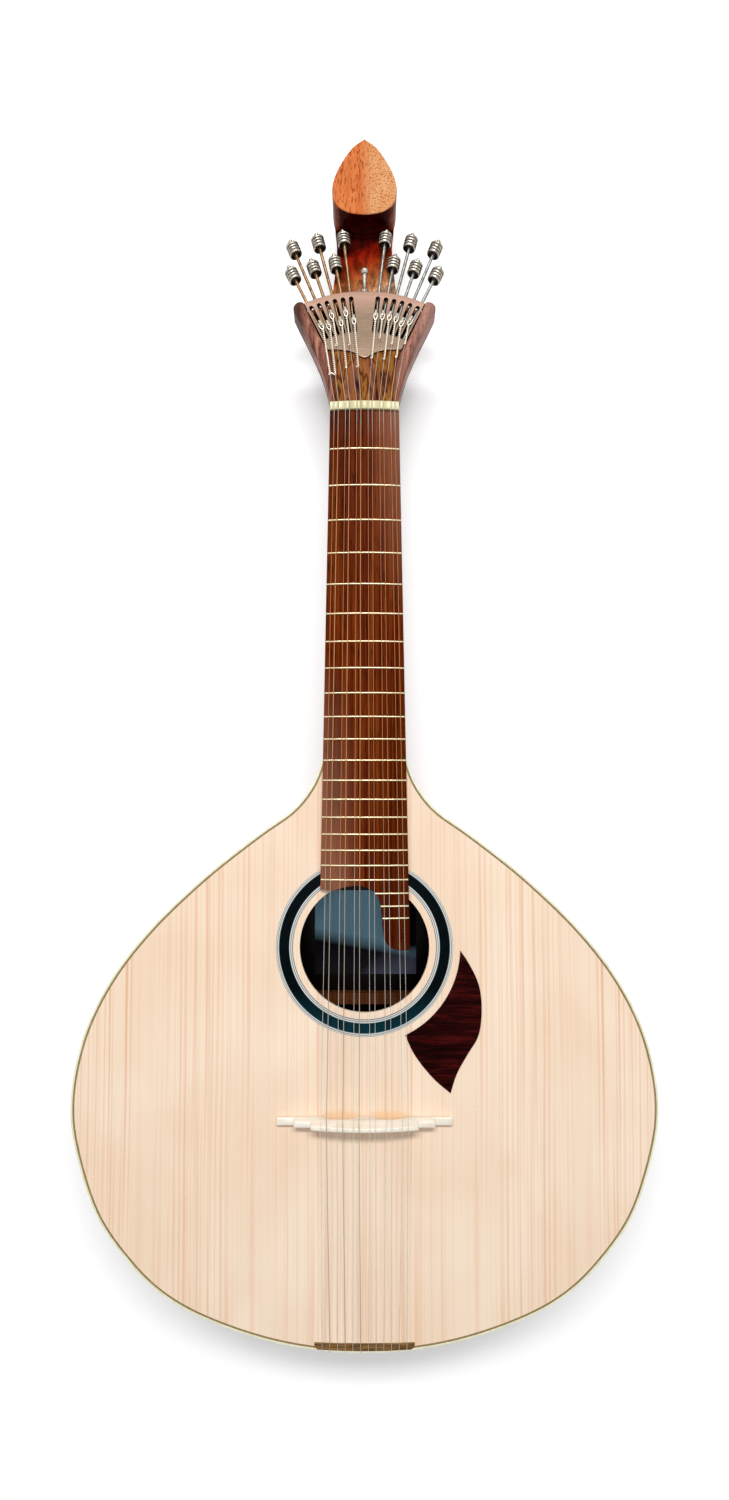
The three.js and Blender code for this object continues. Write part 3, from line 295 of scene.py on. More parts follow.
# The ribs: two strips of the same walnut, 2.8 mm thick, bent over a hot iron and butted at the tail.
# Their grain runs round the body, so the streaks lie level.
RIB_THICKNESS = 2.8
bent_walnut = wood("polished_walnut_ribs", ("#402518", "#66422b", "#80573b", "#2b180f"), 90, 4, 0.5,
                   grain="Z", Roughness=0.3, Specular_IOR_Level=0.3)
tail_step = RIM_STEPS // 2
for side, first, last in (("treble", 0, tail_step), ("bass", tail_step, RIM_STEPS)):
    outside, inside = rim(0)[first:last + 1], rim(RIB_THICKNESS)[first:last + 1]
    rib = shaped("walnut_rib_" + side, raised([outside + inside[::-1]], BACK_THICKNESS, TOP_UNDERSIDE))
    fitted(rib, "root", "rib_wood", [bent_walnut], "side_" + side)

# The bindings: cream ABS strips glued round both edges and scraped flush.
# Inside the top's strip lies a purfling line of olive-grey dyed veneer, cut away at the tail strip.
CREAM_WIDTH = 1.2
STRIP_HALF = 32.25
# ABS, moulded and scraped: an even cream with a faint mottle and a soft plastic gloss.
abs_cream, tree, surface = new_finish("moulded_abs_cream", Roughness=0.38)
mottle = add(tree, "ValToRGB", {0: figure(tree, 3, 20)}, [(0.3, "#d9d6b2"), (0.7, "#efecd2")])
feed(mottle, surface, "Base Color")
# Dyed veneer, scraped: olive-grey with a fine darker grain, and little gloss.
dyed_veneer = wood("dyed_veneer_olive", ("#77663f", "#8b7648", "#9c8757", "#5f5436"), 0.8, 30, 0.3,
                   Roughness=0.5)


def joined(*shapes):
    """Several shapes as one."""
    corners, faces, holes = [], [], []
    for more_corners, more_faces, more_holes in shapes:
        start = len(corners)
        holes += [len(faces) + face for face in more_holes]
        faces += [tuple(start + i for i in face) for face in more_faces]
        corners += more_corners
    return corners, faces, holes


def rim_strip(outer, inner, low, high, first=0, last=RIM_STEPS):
    """A strip between two insets of the rim, from one of its steps to another."""
    line = rim(outer)[first:last + 1] + rim(inner)[first:last + 1][::-1]
    return raised([line], low, high, 0.12)


strip_first = next(i for i, point in enumerate(rim_line) if point.y < 0 and point.x < STRIP_HALF)
strip_last = RIM_STEPS - strip_first
top_binding = shaped("abs_top_binding", rim_strip(0, CREAM_WIDTH, TOP_UNDERSIDE, BODY_DEPTH))
fitted(top_binding, "root", "binding", [abs_cream], "top_binding")
purfling = shaped("top_purfling", joined(
    rim_strip(CREAM_WIDTH, BINDING_WIDTH, TOP_UNDERSIDE, BODY_DEPTH, 0, strip_first),
    rim_strip(CREAM_WIDTH, BINDING_WIDTH, TOP_UNDERSIDE, BODY_DEPTH, strip_last, RIM_STEPS)))
fitted(purfling, "root", "binding", [dyed_veneer], "top_binding")
back_binding = shaped("abs_back_binding", rim_strip(0, BINDING_WIDTH, 0, BACK_THICKNESS))
fitted(back_binding, "root", "binding", [abs_cream], "back_binding")

# Blocks, linings and braces: quarter-sawn cedar, planed and left bare, glued inside the body.
# They show only through the soundhole, as dull orange-brown wood with straight grain 1.5 mm apart.
# Their shapes are those of the CAD model.
bare_cedar = wood("planed_cedar", ("#4a2411", "#633419", "#78462a", "#361c0d"), 1.5, 60, 0.4,
                  Roughness=0.75, Specular_IOR_Level=0.05)
for name in ("neck_block", "tail_block", "top_lining", "back_lining", "upper_brace", "lower_brace",
             "back_brace_upper", "back_brace_lower"):
    nodes[name].data.materials.clear()
    nodes[name].data.materials.append(bare_cedar)

# The label: a sheet of grey-blue laid paper, glued to the back under the soundhole and left plain.
# It is 75 mm wide and 62 mm high.
LABEL_LEFT, LABEL_LOW, LABEL_RIGHT, LABEL_HIGH = -37, 79, 38.5, 141
GLUE = 0.05
PAPER = 0.2
# Matt paper with faint fibres. Below a slanting line it is painted dark as the shadow of the soundhole's
# edge, less so towards the treble side, and high up its treble edge is painted dark as the fingerboard's
# shadow.
blue_paper, tree, surface = new_finish("laid_paper_blue", Roughness=0.85, Specular_IOR_Level=0.05)
fibres = add(tree, "ValToRGB", {0: figure(tree, 1.2, 4)}, [(0.3, "#90c6de"), (0.7, "#a0d2ea")])
place, x, y, z = whereabouts(tree)
# Painted shadow: the paper is darker below a slanting line, less so towards the treble side.
aslant = add(tree, "Math", {0: x, 1: 0.18, 2: y}, operation="MULTIPLY_ADD")
shadow_edge = add(tree, "MapRange", {0: aslant, 1: 107 * MM, 2: 97 * MM})
corner = add(tree, "Math", {0: x, 1: y}, operation="SUBTRACT")
shade_lift = add(tree, "MapRange", {0: corner, 1: -85 * MM, 2: -55 * MM, 4: 0.8})
painted_shade = add(tree, "MixRGB", {0: shade_lift, 1: "#1c181c", 2: "#60667a"})
shaded_paper = add(tree, "MixRGB", {0: shadow_edge, 1: fibres, 2: painted_shade})
# Painted shadow of the fingerboard's extension on the high treble edge.
extension_shadow = add(tree, "MapRange", {0: x, 1: 31 * MM, 2: 34 * MM})
high_part = add(tree, "MapRange", {0: y, 1: 92 * MM, 2: 100 * MM})
extension_shadow = add(tree, "Math", {0: extension_shadow, 1: high_part}, operation="MULTIPLY")
shaded_paper = add(tree, "MixRGB", {0: extension_shadow, 1: shaded_paper, 2: "#0c0c10"})
feed(shaded_paper, surface, "Base Color")
sheet = [Vector((LABEL_LEFT, LABEL_LOW)), Vector((LABEL_RIGHT, LABEL_LOW)),
         Vector((LABEL_RIGHT, LABEL_HIGH)), Vector((LABEL_LEFT, LABEL_HIGH))]
label = shaped("paper_label", raised([sheet], BACK_THICKNESS + GLUE, BACK_THICKNESS + GLUE + PAPER))
fitted(label, "root", "inner_wood", [blue_paper])

# The soundboard: two halves of spruce, split from one board and joined like an open book.
# It has the round soundhole, a groove for the rosette and a notch for the tail strip.
HOLE_CENTRE = (0, 112.5)
HOLE_RADIUS = 42.5
CIRCLE_STEPS = 96
ROSETTE_INNER = 47.1
ROSETTE_OUTER = 58.2
GROOVE_FLOOR = 83.8
NOTCH_END = -138.7
NOTCH_SAG = 0.65
board_rim = rim(BINDING_WIDTH)


def circle(radius):
    """Points of a round outline about the soundhole's centre."""
    across, along = HOLE_CENTRE
    turn = 2 * math.pi / CIRCLE_STEPS
    return [Vector((across + radius * math.cos(turn * i), along + radius * math.sin(turn * i)))
            for i in range(CIRCLE_STEPS)]


notch_line = [Vector((STRIP_HALF * (1 - step / 8), NOTCH_END - NOTCH_SAG * (1 - (1 - step / 8) ** 2)))
              for step in range(17)]
board_line = (board_rim[:strip_first]
              + [Vector((STRIP_HALF, board_rim[strip_first].y)), *notch_line,
                 Vector((-STRIP_HALF, board_rim[strip_first].y))]
              + board_rim[strip_last + 1:])
soundboard = shaped("spruce_soundboard", joined(
    raised([board_line, circle(ROSETTE_OUTER)], TOP_UNDERSIDE, BODY_DEPTH),
    raised([circle(ROSETTE_INNER), circle(HOLE_RADIUS)], TOP_UNDERSIDE, BODY_DEPTH, 0.35),
    raised([circle(ROSETTE_OUTER), circle(ROSETTE_INNER)], TOP_UNDERSIDE, GROOVE_FLOOR)))

# Spruce, quarter sawn and scraped, with a thin satin seal: nearly white early wood, and late wood
# lines 1.7 mm apart that gather into orange-brown bands, the same on both sides of the joint.
# The real lines are about 1 mm apart. They are drawn a little coarser, so that they show.
sealed_spruce, tree, surface = new_finish("scraped_spruce", Roughness=0.5, Specular_IOR_Level=0.2)
place, x, y, z = whereabouts(tree)
along = add(tree, "VectorMath", {0: place, 1: (8.0, 6.0, 0)}, operation="MULTIPLY")
drift = add(tree, "TexNoise", {"Vector": along, "Scale": 1.0, "Detail": 1.0})
wander = add(tree, "Math", {0: drift, 1: 2.6 * MM}, operation="MULTIPLY")
folded = add(tree, "Math", {0: x}, operation="ABSOLUTE")
across = add(tree, "Math", {0: folded, 1: wander})


def spruce_lines(width, length, detail):
    """Lines of growth: so wide across the board, and changing over so long along it."""
    wide = add(tree, "Math", {0: across, 1: 1 / MM / width}, operation="MULTIPLY")
    long = add(tree, "Math", {0: y, 1: 1 / MM / length}, operation="MULTIPLY")
    spot = add(tree, "CombineXYZ", {0: wide, 1: long})
    return add(tree, "TexNoise", {"Vector": spot, "Scale": 1.0, "Detail": detail, "Roughness": 0.55})


late_wood = add(tree, "ValToRGB", {0: spruce_lines(1.7, 420, 1.5)}, [(0.47, BLACK), (0.66, WHITE)])
broad = add(tree, "ValToRGB", {0: spruce_lines(9, 900, 2.0)}, [(0.5, BLACK), (0.72, WHITE)])
reach = add(tree, "Math", {0: folded, 1: BODY_HALF * MM}, operation="DIVIDE")
# How strong the lines are, by their share of the way from the joint to the rim.
BANDS = [(0.0, 0.3), (0.09, 0.3), (0.13, 0.85), (0.17, 0.3), (0.28, 0.1), (0.43, 0.3), (0.47, 0.6),
         (0.51, 0.35), (0.56, 0.75), (0.6, 0.8), (0.64, 0.3), (0.78, 0.2), (0.83, 1.0), (0.86, 0.4),
         (0.95, 0.5)]
bands = add(tree, "ValToRGB", {0: reach},
            [(share, (amount, amount, amount, 1)) for share, amount in BANDS])
gathered = add(tree, "Math", {0: bands, 1: 0.42, 2: 0.11}, operation="MULTIPLY_ADD")
strength = add(tree, "Math", {0: broad, 1: 0.35, 2: gathered}, operation="MULTIPLY_ADD")
lines = add(tree, "Math", {0: late_wood, 1: strength}, operation="MULTIPLY", use_clamp=True)
warmth = add(tree, "ValToRGB", {0: figure(tree, 70, 120, "Y", 0.4, 2.0)},
             [(0.35, "#f5e0c9"), (0.65, "#efd5bb")])
colour = add(tree, "MixRGB", {0: lines, 1: warmth, 2: "#d8935c"})
silk = add(tree, "ValToRGB", {0: figure(tree, 5, 0.9, "Y", 0.3, 2.0)},
           [(0.62, BLACK), (0.8, (0.5, 0.5, 0.5, 1))])
flecked = add(tree, "MixRGB", {0: silk, 1: colour, 2: "#fbeedd"})
# Painted shade: the wood is warmer and darker in the bridge's two arches, where the bridge shades it.
mirror = add(tree, "CombineXYZ", {0: folded, 1: y})
away = add(tree, "VectorMath", {0: mirror, 1: (15.8 * MM, 3.8 * MM, 0)}, operation="SUBTRACT")
away = add(tree, "VectorMath", {0: away, 1: (72, 270, 0)}, operation="MULTIPLY")
away = add(tree, "VectorMath", {0: away}, operation="LENGTH")
arch = add(tree, "MapRange", {0: away.outputs["Value"], 1: 1.25, 2: 0.5, 4: 0.6})
painted_arch_shade = add(tree, "MixRGB", {0: arch, 1: flecked, 2: "#f4c48c"})
feed(painted_arch_shade, surface, "Base Color")
ridges = add(tree, "Bump", {"Height": late_wood, "Strength": 0.12, "Distance": 0.05 * MM})
feed(ridges, surface, "Normal")
fitted(soundboard, "root", "spruce", [sealed_spruce], "soundboard")

# The rosette: a broad ring of polished black horn between two purfling rings, inlaid and scraped flush.
# The horn is teal where it is thin, towards the tail, and each purfling is grey-white with dark lines.
BAND_INNER = 49.6
BAND_OUTER = 55.9
# Horn, scraped and polished: black under a clear gloss, with faint clouds 4 mm wide.
polished_horn, tree, surface = new_finish("polished_black_horn", Roughness=0.25, Specular_IOR_Level=0.012)
place, x, y, z = whereabouts(tree)
down = add(tree, "MapRange", {0: y, 1: 85 * MM, 2: 56 * MM})
depth = add(tree, "MixRGB", {0: down, 1: "#020303", 2: "#10424e"})
clouds = add(tree, "MixRGB", {0: figure(tree, 4, 4), 1: depth, 2: "#061216"})
feed(clouds, surface, "Base Color")


def ring_lines(name, inner, outer):
    """Laminated purfling, bent to a ring: pale veneer with dark lines at its edges and middle."""
    made, tree, surface = new_finish(name, Roughness=0.4)
    place = add(tree, "TexCoord").outputs["Object"]
    centre = (HOLE_CENTRE[0] * MM, HOLE_CENTRE[1] * MM, 0)
    flat = add(tree, "VectorMath", {0: place, 1: (1, 1, 0)}, operation="MULTIPLY")
    far = add(tree, "VectorMath", {0: flat, 1: centre}, operation="DISTANCE")
    share = add(tree, "MapRange", {0: far.outputs["Value"], 1: inner * MM, 2: outer * MM})
    pale, dark = "#cfd2cf", "#454c4c"
    shade = add(tree, "ValToRGB", {0: share},
                [(0.0, dark), (0.1, dark), (0.18, pale), (0.38, pale), (0.46, dark), (0.56, dark),
                 (0.64, pale), (0.86, pale), (0.92, dark), (1.0, dark)])
    feed(shade, surface, "Base Color")
    return made


def rosette_ring(outer, inner):
    """A flat ring about the soundhole's centre, let into the groove."""
    return raised([circle(outer), circle(inner)], GROOVE_FLOOR, BODY_DEPTH, 0.05)


horn_band = shaped("horn_rosette_band", rosette_ring(BAND_OUTER, BAND_INNER))
fitted(horn_band, "root", "rosette_inlay", [polished_horn], "rosette")
for name, inner, outer in (("inner", ROSETTE_INNER, BAND_INNER), ("outer", BAND_OUTER, ROSETTE_OUTER)):
    ring = shaped("rosette_" + name + "_purfling", rosette_ring(outer, inner))
    fitted(ring, "root", "rosette_inlay", [ring_lines("purfling_" + name, inner, outer)], "rosette")

# The pickguard: a leaf of thin rosewood, its grain across the body, lacquered and glued on.
# Its inner edge keeps an even distance from the rosette.
GUARD_RADIUS = 62.8
GUARD_REACH = 76.6
GUARD_LENGTH = 92.0
GUARD_THICKNESS = 0.8
GUARD_TOP_ANGLE = -2
GUARD_LOW_ANGLE = -65
GUARD_EDGE = [(0.88, 0.073), (0.975, 0.237), (1, 0.417), (0.97, 0.6), (0.877, 0.73), (0.785, 0.866)]
GUARD_RETURN = [(0.59, 0.9), (0.425, 0.73)]


def on_guard_arc(degrees):
    """A point of the leaf's inner edge."""
    angle = math.radians(degrees)
    return (GUARD_RADIUS * math.cos(angle), HOLE_CENTRE[1] + GUARD_RADIUS * math.sin(angle))


guard_top = on_guard_arc(GUARD_TOP_ANGLE)


def from_top(across, along):
    """A point of the leaf, as shares of its reach and of its length."""
    return across * GUARD_REACH, guard_top[1] - along * GUARD_LENGTH


guard_tip = from_top(0.731, 1)
guard_line = smooth_line([guard_top] + [from_top(*share) for share in GUARD_EDGE] + [guard_tip], 48)
guard_back = [guard_tip] + [from_top(*share) for share in GUARD_RETURN] + [on_guard_arc(GUARD_LOW_ANGLE)]
guard_line += smooth_line(guard_back, 24)[1:]
guard_line += [Vector(on_guard_arc(GUARD_LOW_ANGLE + (GUARD_TOP_ANGLE - GUARD_LOW_ANGLE) * step / 40))
               for step in range(1, 40)]
# Rosewood under lacquer: dark wine red with nearly black streaks 3 mm apart, and a clear gloss.
lacquered_rosewood = wood("lacquered_rosewood", ("#100202", "#240505", "#4a100e", "#080101"),
                          3.0, 34, 0.5, grain="X", Roughness=0.3, Specular_IOR_Level=0.012)
leaf = raised([guard_line], BODY_DEPTH, BODY_DEPTH + GUARD_THICKNESS, 0.3)
pickguard = shaped("rosewood_pickguard", leaf)
fitted(pickguard, "root", "rosewood", [lacquered_rosewood], "pickguard")

# The neck: one piece of mahogany, from the heel through the shaft to the head and its teardrop.
# The head lies back by 10 degrees. On it, y runs up from the nut and z out of its face.
NUT_Y = 470.0
NUT_LENGTH = 5.5
NUT_WIDTH = 46.4
BOARD_END_WIDTH = 59.4
BOARD_LENGTH = 359.0
NECK_DEPTH = 16.0
HEEL_LENGTH = 46.0
HEEL_CAP_HALF = 12.0
HEEL_SHARES = [(0, 0), (0.3, 0.06), (0.52, 0.2), (0.7, 0.42), (0.85, 0.7), (1, 1)]
UNDER_BOARD = 1.4
HEAD_TILT = math.radians(10)
HEAD_FACE = 83.2
HEAD_PLACE = (Matrix.Translation((0, (NUT_Y + NUT_LENGTH) * MM, HEAD_FACE * MM))
              @ Matrix.Rotation(-HEAD_TILT, 4, "X"))


def lofted(rings):
    """A closed skin over rings that have the same number of points."""
    count = len(rings[0])
    corners = [tuple(point) for ring in rings for point in ring]
    faces = []
    for row in range(len(rings) - 1):
        for i in range(count):
            j = (i + 1) % count
            faces.append((row * count + i, row * count + j, (row + 1) * count + j, (row + 1) * count + i))
    last = (len(rings) - 1) * count
    faces += [tuple(reversed(range(count))), tuple(range(last, last + count))]
    return corners, faces, []


def board_half(distance):
    """Half the fingerboard's width at a distance from the nut."""
    return NUT_WIDTH / 2 + max(distance, 0) * (BOARD_END_WIDTH - NUT_WIDTH) / 2 / BOARD_LENGTH


def neck_ring(distance, depth, foot_half):
    """The neck's section: flat where the fingerboard lies, and round below."""
    half = board_half(distance) - 0.15
    ring = [Vector((half, NUT_Y - distance, BODY_DEPTH + UNDER_BOARD)),
            Vector((-half, NUT_Y - distance, BODY_DEPTH + UNDER_BOARD))]
    for step in range(41):
        angle = math.pi * step / 40
        down, side = math.sin(angle), math.cos(angle)
        bulge = math.copysign(abs(side) ** 0.8, side)
        width = half + (min(foot_half, half) - half) * down ** 2
        ring.append(Vector((-bulge * width, NUT_Y - distance, BODY_DEPTH - depth * down ** 0.8)))
    return ring


heel_start = BODY_START - HEEL_LENGTH
stations = [(distance, NECK_DEPTH, board_half(distance)) for distance in (-NUT_LENGTH, 0, 60, 120, 170)]
for share in smooth_line(HEEL_SHARES, 20):
    distance = heel_start + share.x * HEEL_LENGTH
    depth = NECK_DEPTH + (BODY_DEPTH - NECK_DEPTH) * share.y
    foot = board_half(distance) + (HEEL_CAP_HALF - board_half(distance)) * share.y
    stations.append((distance, depth, foot))
stations.append((BODY_START + 1.5, BODY_DEPTH, HEEL_CAP_HALF))
shaft = shaped("neck_shaft", lofted([neck_ring(*station) for station in stations]))

EAR_HALF = 49.8
EAR_RADIUS = 96.4
FAN_CENTRE = Vector((0, -6))
HEAD_THICKNESS = 15.0
HEAD_SHARES = [(0.466, -0.05), (0.47, 0.04), (0.51, 0.18), (0.597, 0.385), (0.739, 0.63), (1, 1)]
ear_place = math.sqrt(EAR_RADIUS ** 2 - EAR_HALF ** 2) + FAN_CENTRE.y


def fan_arc(radius, start, end, steps):
    """Points about the fan's centre, from one angle to another, measured from straight up the head."""
    angles = [start + (end - start) * step / steps for step in range(steps + 1)]
    return [FAN_CENTRE + radius * Vector((math.sin(angle), math.cos(angle))) for angle in angles]


def mirrored(points):
    """The same line on the bass side, run the other way."""
    return [Vector((-point.x, point.y)) for point in reversed(points)]


head_edge = smooth_line([(across * EAR_HALF, along * ear_place) for across, along in HEAD_SHARES], 40)
ear_angle = math.asin(EAR_HALF / EAR_RADIUS)
head_line = head_edge + fan_arc(EAR_RADIUS, ear_angle, -ear_angle, 60)[1:-1] + mirrored(head_edge)
slab = shaped("head_slab", raised([head_line], -HEAD_THICKNESS, 0, 1.0), HEAD_PLACE)

# The cheeks of the head: half-round rails along both edges, cut off square at the ears.
# They are carved from the same wood as the head, and hold the veneer between them.
inner_edge = smooth_line([(21.0, -4.0), (21.2, 12.0), (22.0, 35.7), (31.0, 55.0), (41.9, 79.4)], 40)


def cheek_rail(side, first, floor):
    """A cheek from one of the edge's steps up to the ear, down to a floor that it reaches by degrees."""
    rings = []
    for step in range(first, 41):
        outer, inner = head_edge[step].copy(), inner_edge[step].copy()
        outer.y += max(step - 34, 0) / 6
        inner.y += max(step - 34, 0) / 6
        rise = 2.0 + 1.8 * step / 40
        low = -4 + (floor + 4) * min((step - first) / 14, 1)
        ring = [outer.lerp(inner, 0.06).to_3d() + Vector((0, 0, low)),
                outer.to_3d() + Vector((0, 0, low + 0.6))]
        for turn in range(13):
            angle = math.pi * turn / 12
            spot = outer.lerp(inner, (1 - math.cos(angle)) / 2)
            ring.append(Vector((spot.x, spot.y, -3 + (rise + 3) * math.sin(angle) ** 0.7)))
        ring.append(inner.to_3d() + Vector((0, 0, low)))
        rings.append([Vector((side * spot.x, spot.y, spot.z)) for spot in ring])
    return lofted(rings)


cheeks = [shaped("cheek", cheek_rail(side, 0, -6), HEAD_PLACE) for side in (1, -1)]

# The column behind the tuners curves forward and is cut off flat, which makes the teardrop.
# It is sawn to its side view and to its front view in turn.
COLUMN_START = 42.0
TEARDROP_START = 145.3
TEARDROP_LENGTH = 65.0
TEARDROP_WIDTH = 46.0
TEARDROP_RISE = 10.3
COLUMN_FRONT = -9.7
HORN_DEPTH = 32.0
HORN_BACK = [(0, 0.21), (0.22, 0.15), (0.4, 0.08), (0.55, 0.02), (0.66, 0), (0.77, 0.08), (0.88, 0.36),
             (0.955, 0.68), (1, 0.94)]
HORN_LIP = [(0.612, 1), (0.622, 0.88), (0.635, 0.7), (0.635, 0.55), (0.61, 0.42), (0.56, 0.375)]
TEARDROP_SHARES = [(0, 0), (0.5, 0.032), (0.77, 0.09), (0.92, 0.16), (1, 0.3), (0.977, 0.42),
                   (0.88, 0.545), (0.7, 0.69), (0.38, 0.88), (0, 1)]
teardrop_tip = TEARDROP_START + TEARDROP_LENGTH


def horn_point(along, up):
    """A point of the column's side view, as shares of its length and of its depth."""
    return (COLUMN_START + along * (teardrop_tip - COLUMN_START),
            TEARDROP_RISE - HORN_DEPTH * (1 - up))


horn_side = (smooth_line([horn_point(*share) for share in HORN_BACK], 60)
             + [Vector((teardrop_tip, TEARDROP_RISE))]
             + smooth_line([horn_point(*share) for share in HORN_LIP], 24)
             + [Vector((COLUMN_START, COLUMN_FRONT))])
half_drop = smooth_line([(across * TEARDROP_WIDTH / 2, TEARDROP_START + along * TEARDROP_LENGTH)
                         for across, along in TEARDROP_SHARES], 60)
COLUMN_HALF = 24.0
column_edge = smooth_line([(COLUMN_HALF, COLUMN_START), (COLUMN_HALF, 78.66), (19.9, 135.0),
                           (21.45, 153.4)], 30)
ALONG_HEAD = Matrix(((0, 0, 1, 0), (1, 0, 0, 0), (0, 1, 0, 0), (0, 0, 0, 1)))


def settle(piece):
    """Applies a piece's modifiers to its mesh."""
    evaluated = piece.evaluated_get(bpy.context.evaluated_depsgraph_get())
    mesh = bpy.data.meshes.new_from_object(evaluated)
    piece.modifiers.clear()
    piece.data = mesh


def cut(piece, tool, how):
    """Shares, adds or takes away another solid, which is then gone."""
    piece.modifiers.clear()
    tool.modifiers.clear()
    change = piece.modifiers.new(how, "BOOLEAN")
    change.operation = how
    change.object = tool
    settle(piece)
    bpy.data.objects.remove(tool)
    return piece


horn = []
for name, plan, top in (("horn_drop", half_drop + mirrored(half_drop[1:-1]), 20),
                        ("horn_column", column_edge + mirrored(column_edge), COLUMN_FRONT)):
    side_view = shaped(name, raised([horn_side], -30, 30), HEAD_PLACE @ ALONG_HEAD)
    plan_view = shaped("plan", raised([plan], -40, top), HEAD_PLACE)
    horn.append(cut(side_view, plan_view, "INTERSECT"))

# Under the tuner plate the head is hollowed out, so that the screws have room.
POCKET_RADIUS = 58.5
POCKET_ANGLE = 0.52
POCKET_FLOOR = -8.2
pocket_edge = (fan_arc(POCKET_RADIUS, -POCKET_ANGLE, POCKET_ANGLE, 20)
               + [Vector((49.0, 96.0)), Vector((-49.0, 96.0))])
cut(slab, shaped("pocket", raised([pocket_edge], POCKET_FLOOR, 5), HEAD_PLACE), "DIFFERENCE")

whole = bmesh.new()
for part in (shaft, slab, *cheeks, *horn):
    whole.from_mesh(part.data)
    bpy.data.objects.remove(part)
neck_mesh = bpy.data.meshes.new("mahogany_neck")
whole.to_mesh(neck_mesh)
whole.free()
neck = placed("mahogany_neck", neck_mesh)
carve = neck.modifiers.new("carved as one", "REMESH")
carve.mode = "VOXEL"
carve.voxel_size = 0.7 * MM
settle(neck)

# The back of the column is carved round: its depth shrinks towards its sides.
ROUND_START = COLUMN_START + 8
ROUND_EASE = 30
TAPER_START = 80
TAPER_LENGTH = 55
to_head = HEAD_PLACE.inverted()
for corner in neck.data.vertices:
    spot = to_head @ corner.co / MM
    if spot.y > ROUND_START and spot.z < COLUMN_FRONT:
        blend = min(1.0, (spot.y - ROUND_START) / ROUND_EASE)
        taper = min(1.0, max(spot.y - TAPER_START, 0) / TAPER_LENGTH) * 3.0
        side = min(abs(spot.x) / (COLUMN_HALF - taper), 1.0)
        round_back = 1 - 0.5 * blend * side ** 3
        spot.z = COLUMN_FRONT + (spot.z - COLUMN_FRONT) * round_back
        corner.co = HEAD_PLACE @ (spot * MM)
ease = neck.modifiers.new("sanded", "SMOOTH")
ease.factor = 0.5
ease.iterations = 3
thin = neck.modifiers.new("fewer faces", "DECIMATE")
thin.ratio = 0.3
settle(neck)
neck.data.shade_smooth()

# Mahogany with a dark shaded stain and a hand-rubbed gloss. The column is stained from orange to
# nearly black under the teardrop, where painted shade also stands for the teardrop's shadow, the cheeks
# have faded to plum, and the teardrop's cut face is bare, oiled wood. Below, x, y and z are a point's
# place on the head.
stained_mahogany, tree, surface = new_finish("stained_mahogany", Specular_IOR_Level=0.012)
tone = add(tree, "ValToRGB", {0: figure(tree, 4, 90)},
           [(0.32, "#5a2413"), (0.5, "#7c3a20"), (0.68, "#9b5532")])
place = add(tree, "TexCoord").outputs["Object"]
local = add(tree, "Mapping", {"Vector": place, "Location": HEAD_PLACE.translation,
                              "Rotation": (-HEAD_TILT, 0, 0)}, vector_type="TEXTURE")
x, y, z = add(tree, "SeparateXYZ", {0: local}).outputs
# The cheeks: faded plum, with a painted highlight that makes the treble side paler, and dark brown at the
# bass ear.
on_cheek = add(tree, "MapRange", {0: z, 1: -15.5 * MM, 2: -9.5 * MM})
below_column = add(tree, "MapRange", {0: y, 1: 90 * MM, 2: 82 * MM})
past_nut = add(tree, "MapRange", {0: y, 1: -14 * MM, 2: 4 * MM})
cheek = add(tree, "Math", {0: on_cheek, 1: below_column}, operation="MULTIPLY")
cheek = add(tree, "Math", {0: cheek, 1: past_nut}, operation="MULTIPLY")
plum = add(tree, "ValToRGB", {0: figure(tree, 6, 60)},
           [(0.32, "#43211a"), (0.46, "#8a5848"), (0.58, "#b07a6a"), (0.7, "#c49482")])
treble_highlight = add(tree, "MapRange", {0: x, 1: 25 * MM, 2: 45 * MM, 4: 0.5})
plum = add(tree, "MixRGB", {0: treble_highlight, 1: plum, 2: "#c79e90"})
bass_ear = add(tree, "MapRange", {0: x, 1: -39 * MM, 2: -45 * MM, 4: 0.85})
plum = add(tree, "MixRGB", {0: bass_ear, 1: plum, 2: "#4c3026"})
shaded = add(tree, "MixRGB", {0: cheek, 1: tone, 2: plum})
# The column's front: a stain that deepens towards the teardrop, rubbed off in patches, with painted
# shade that turns it nearly black under the teardrop's overhang.
front = add(tree, "MapRange", {0: z, 1: -13 * MM, 2: -10.5 * MM})
under = add(tree, "MapRange", {0: y, 1: 152.5 * MM, 2: 150.5 * MM})
aside = add(tree, "Math", {0: x, 1: -0.45, 2: y}, operation="MULTIPLY_ADD")
up_column = add(tree, "MapRange", {0: aside, 1: 90 * MM, 2: 145 * MM})
front = add(tree, "Math", {0: front, 1: under}, operation="MULTIPLY")
started = add(tree, "MapRange", {0: y, 1: 84 * MM, 2: 90 * MM})
front = add(tree, "Math", {0: front, 1: started}, operation="MULTIPLY")
column_stain_and_shade = add(tree, "ValToRGB", {0: up_column},
                   [(0.1, "#ecb084"), (0.26, "#e08e58"), (0.42, "#b2542a"), (0.58, "#9c300f"),
                    (0.74, "#981a0a"), (0.86, "#480a05")])
patches = add(tree, "ValToRGB", {0: figure(tree, 6, 14)}, [(0.35, "#8a8a8a"), (0.65, WHITE)])
streaked = add(tree, "MixRGB", {0: 1.0, 1: column_stain_and_shade, 2: patches}, blend_type="MULTIPLY")
hollow = add(tree, "MixRGB", {0: front, 1: shaded, 2: streaked})
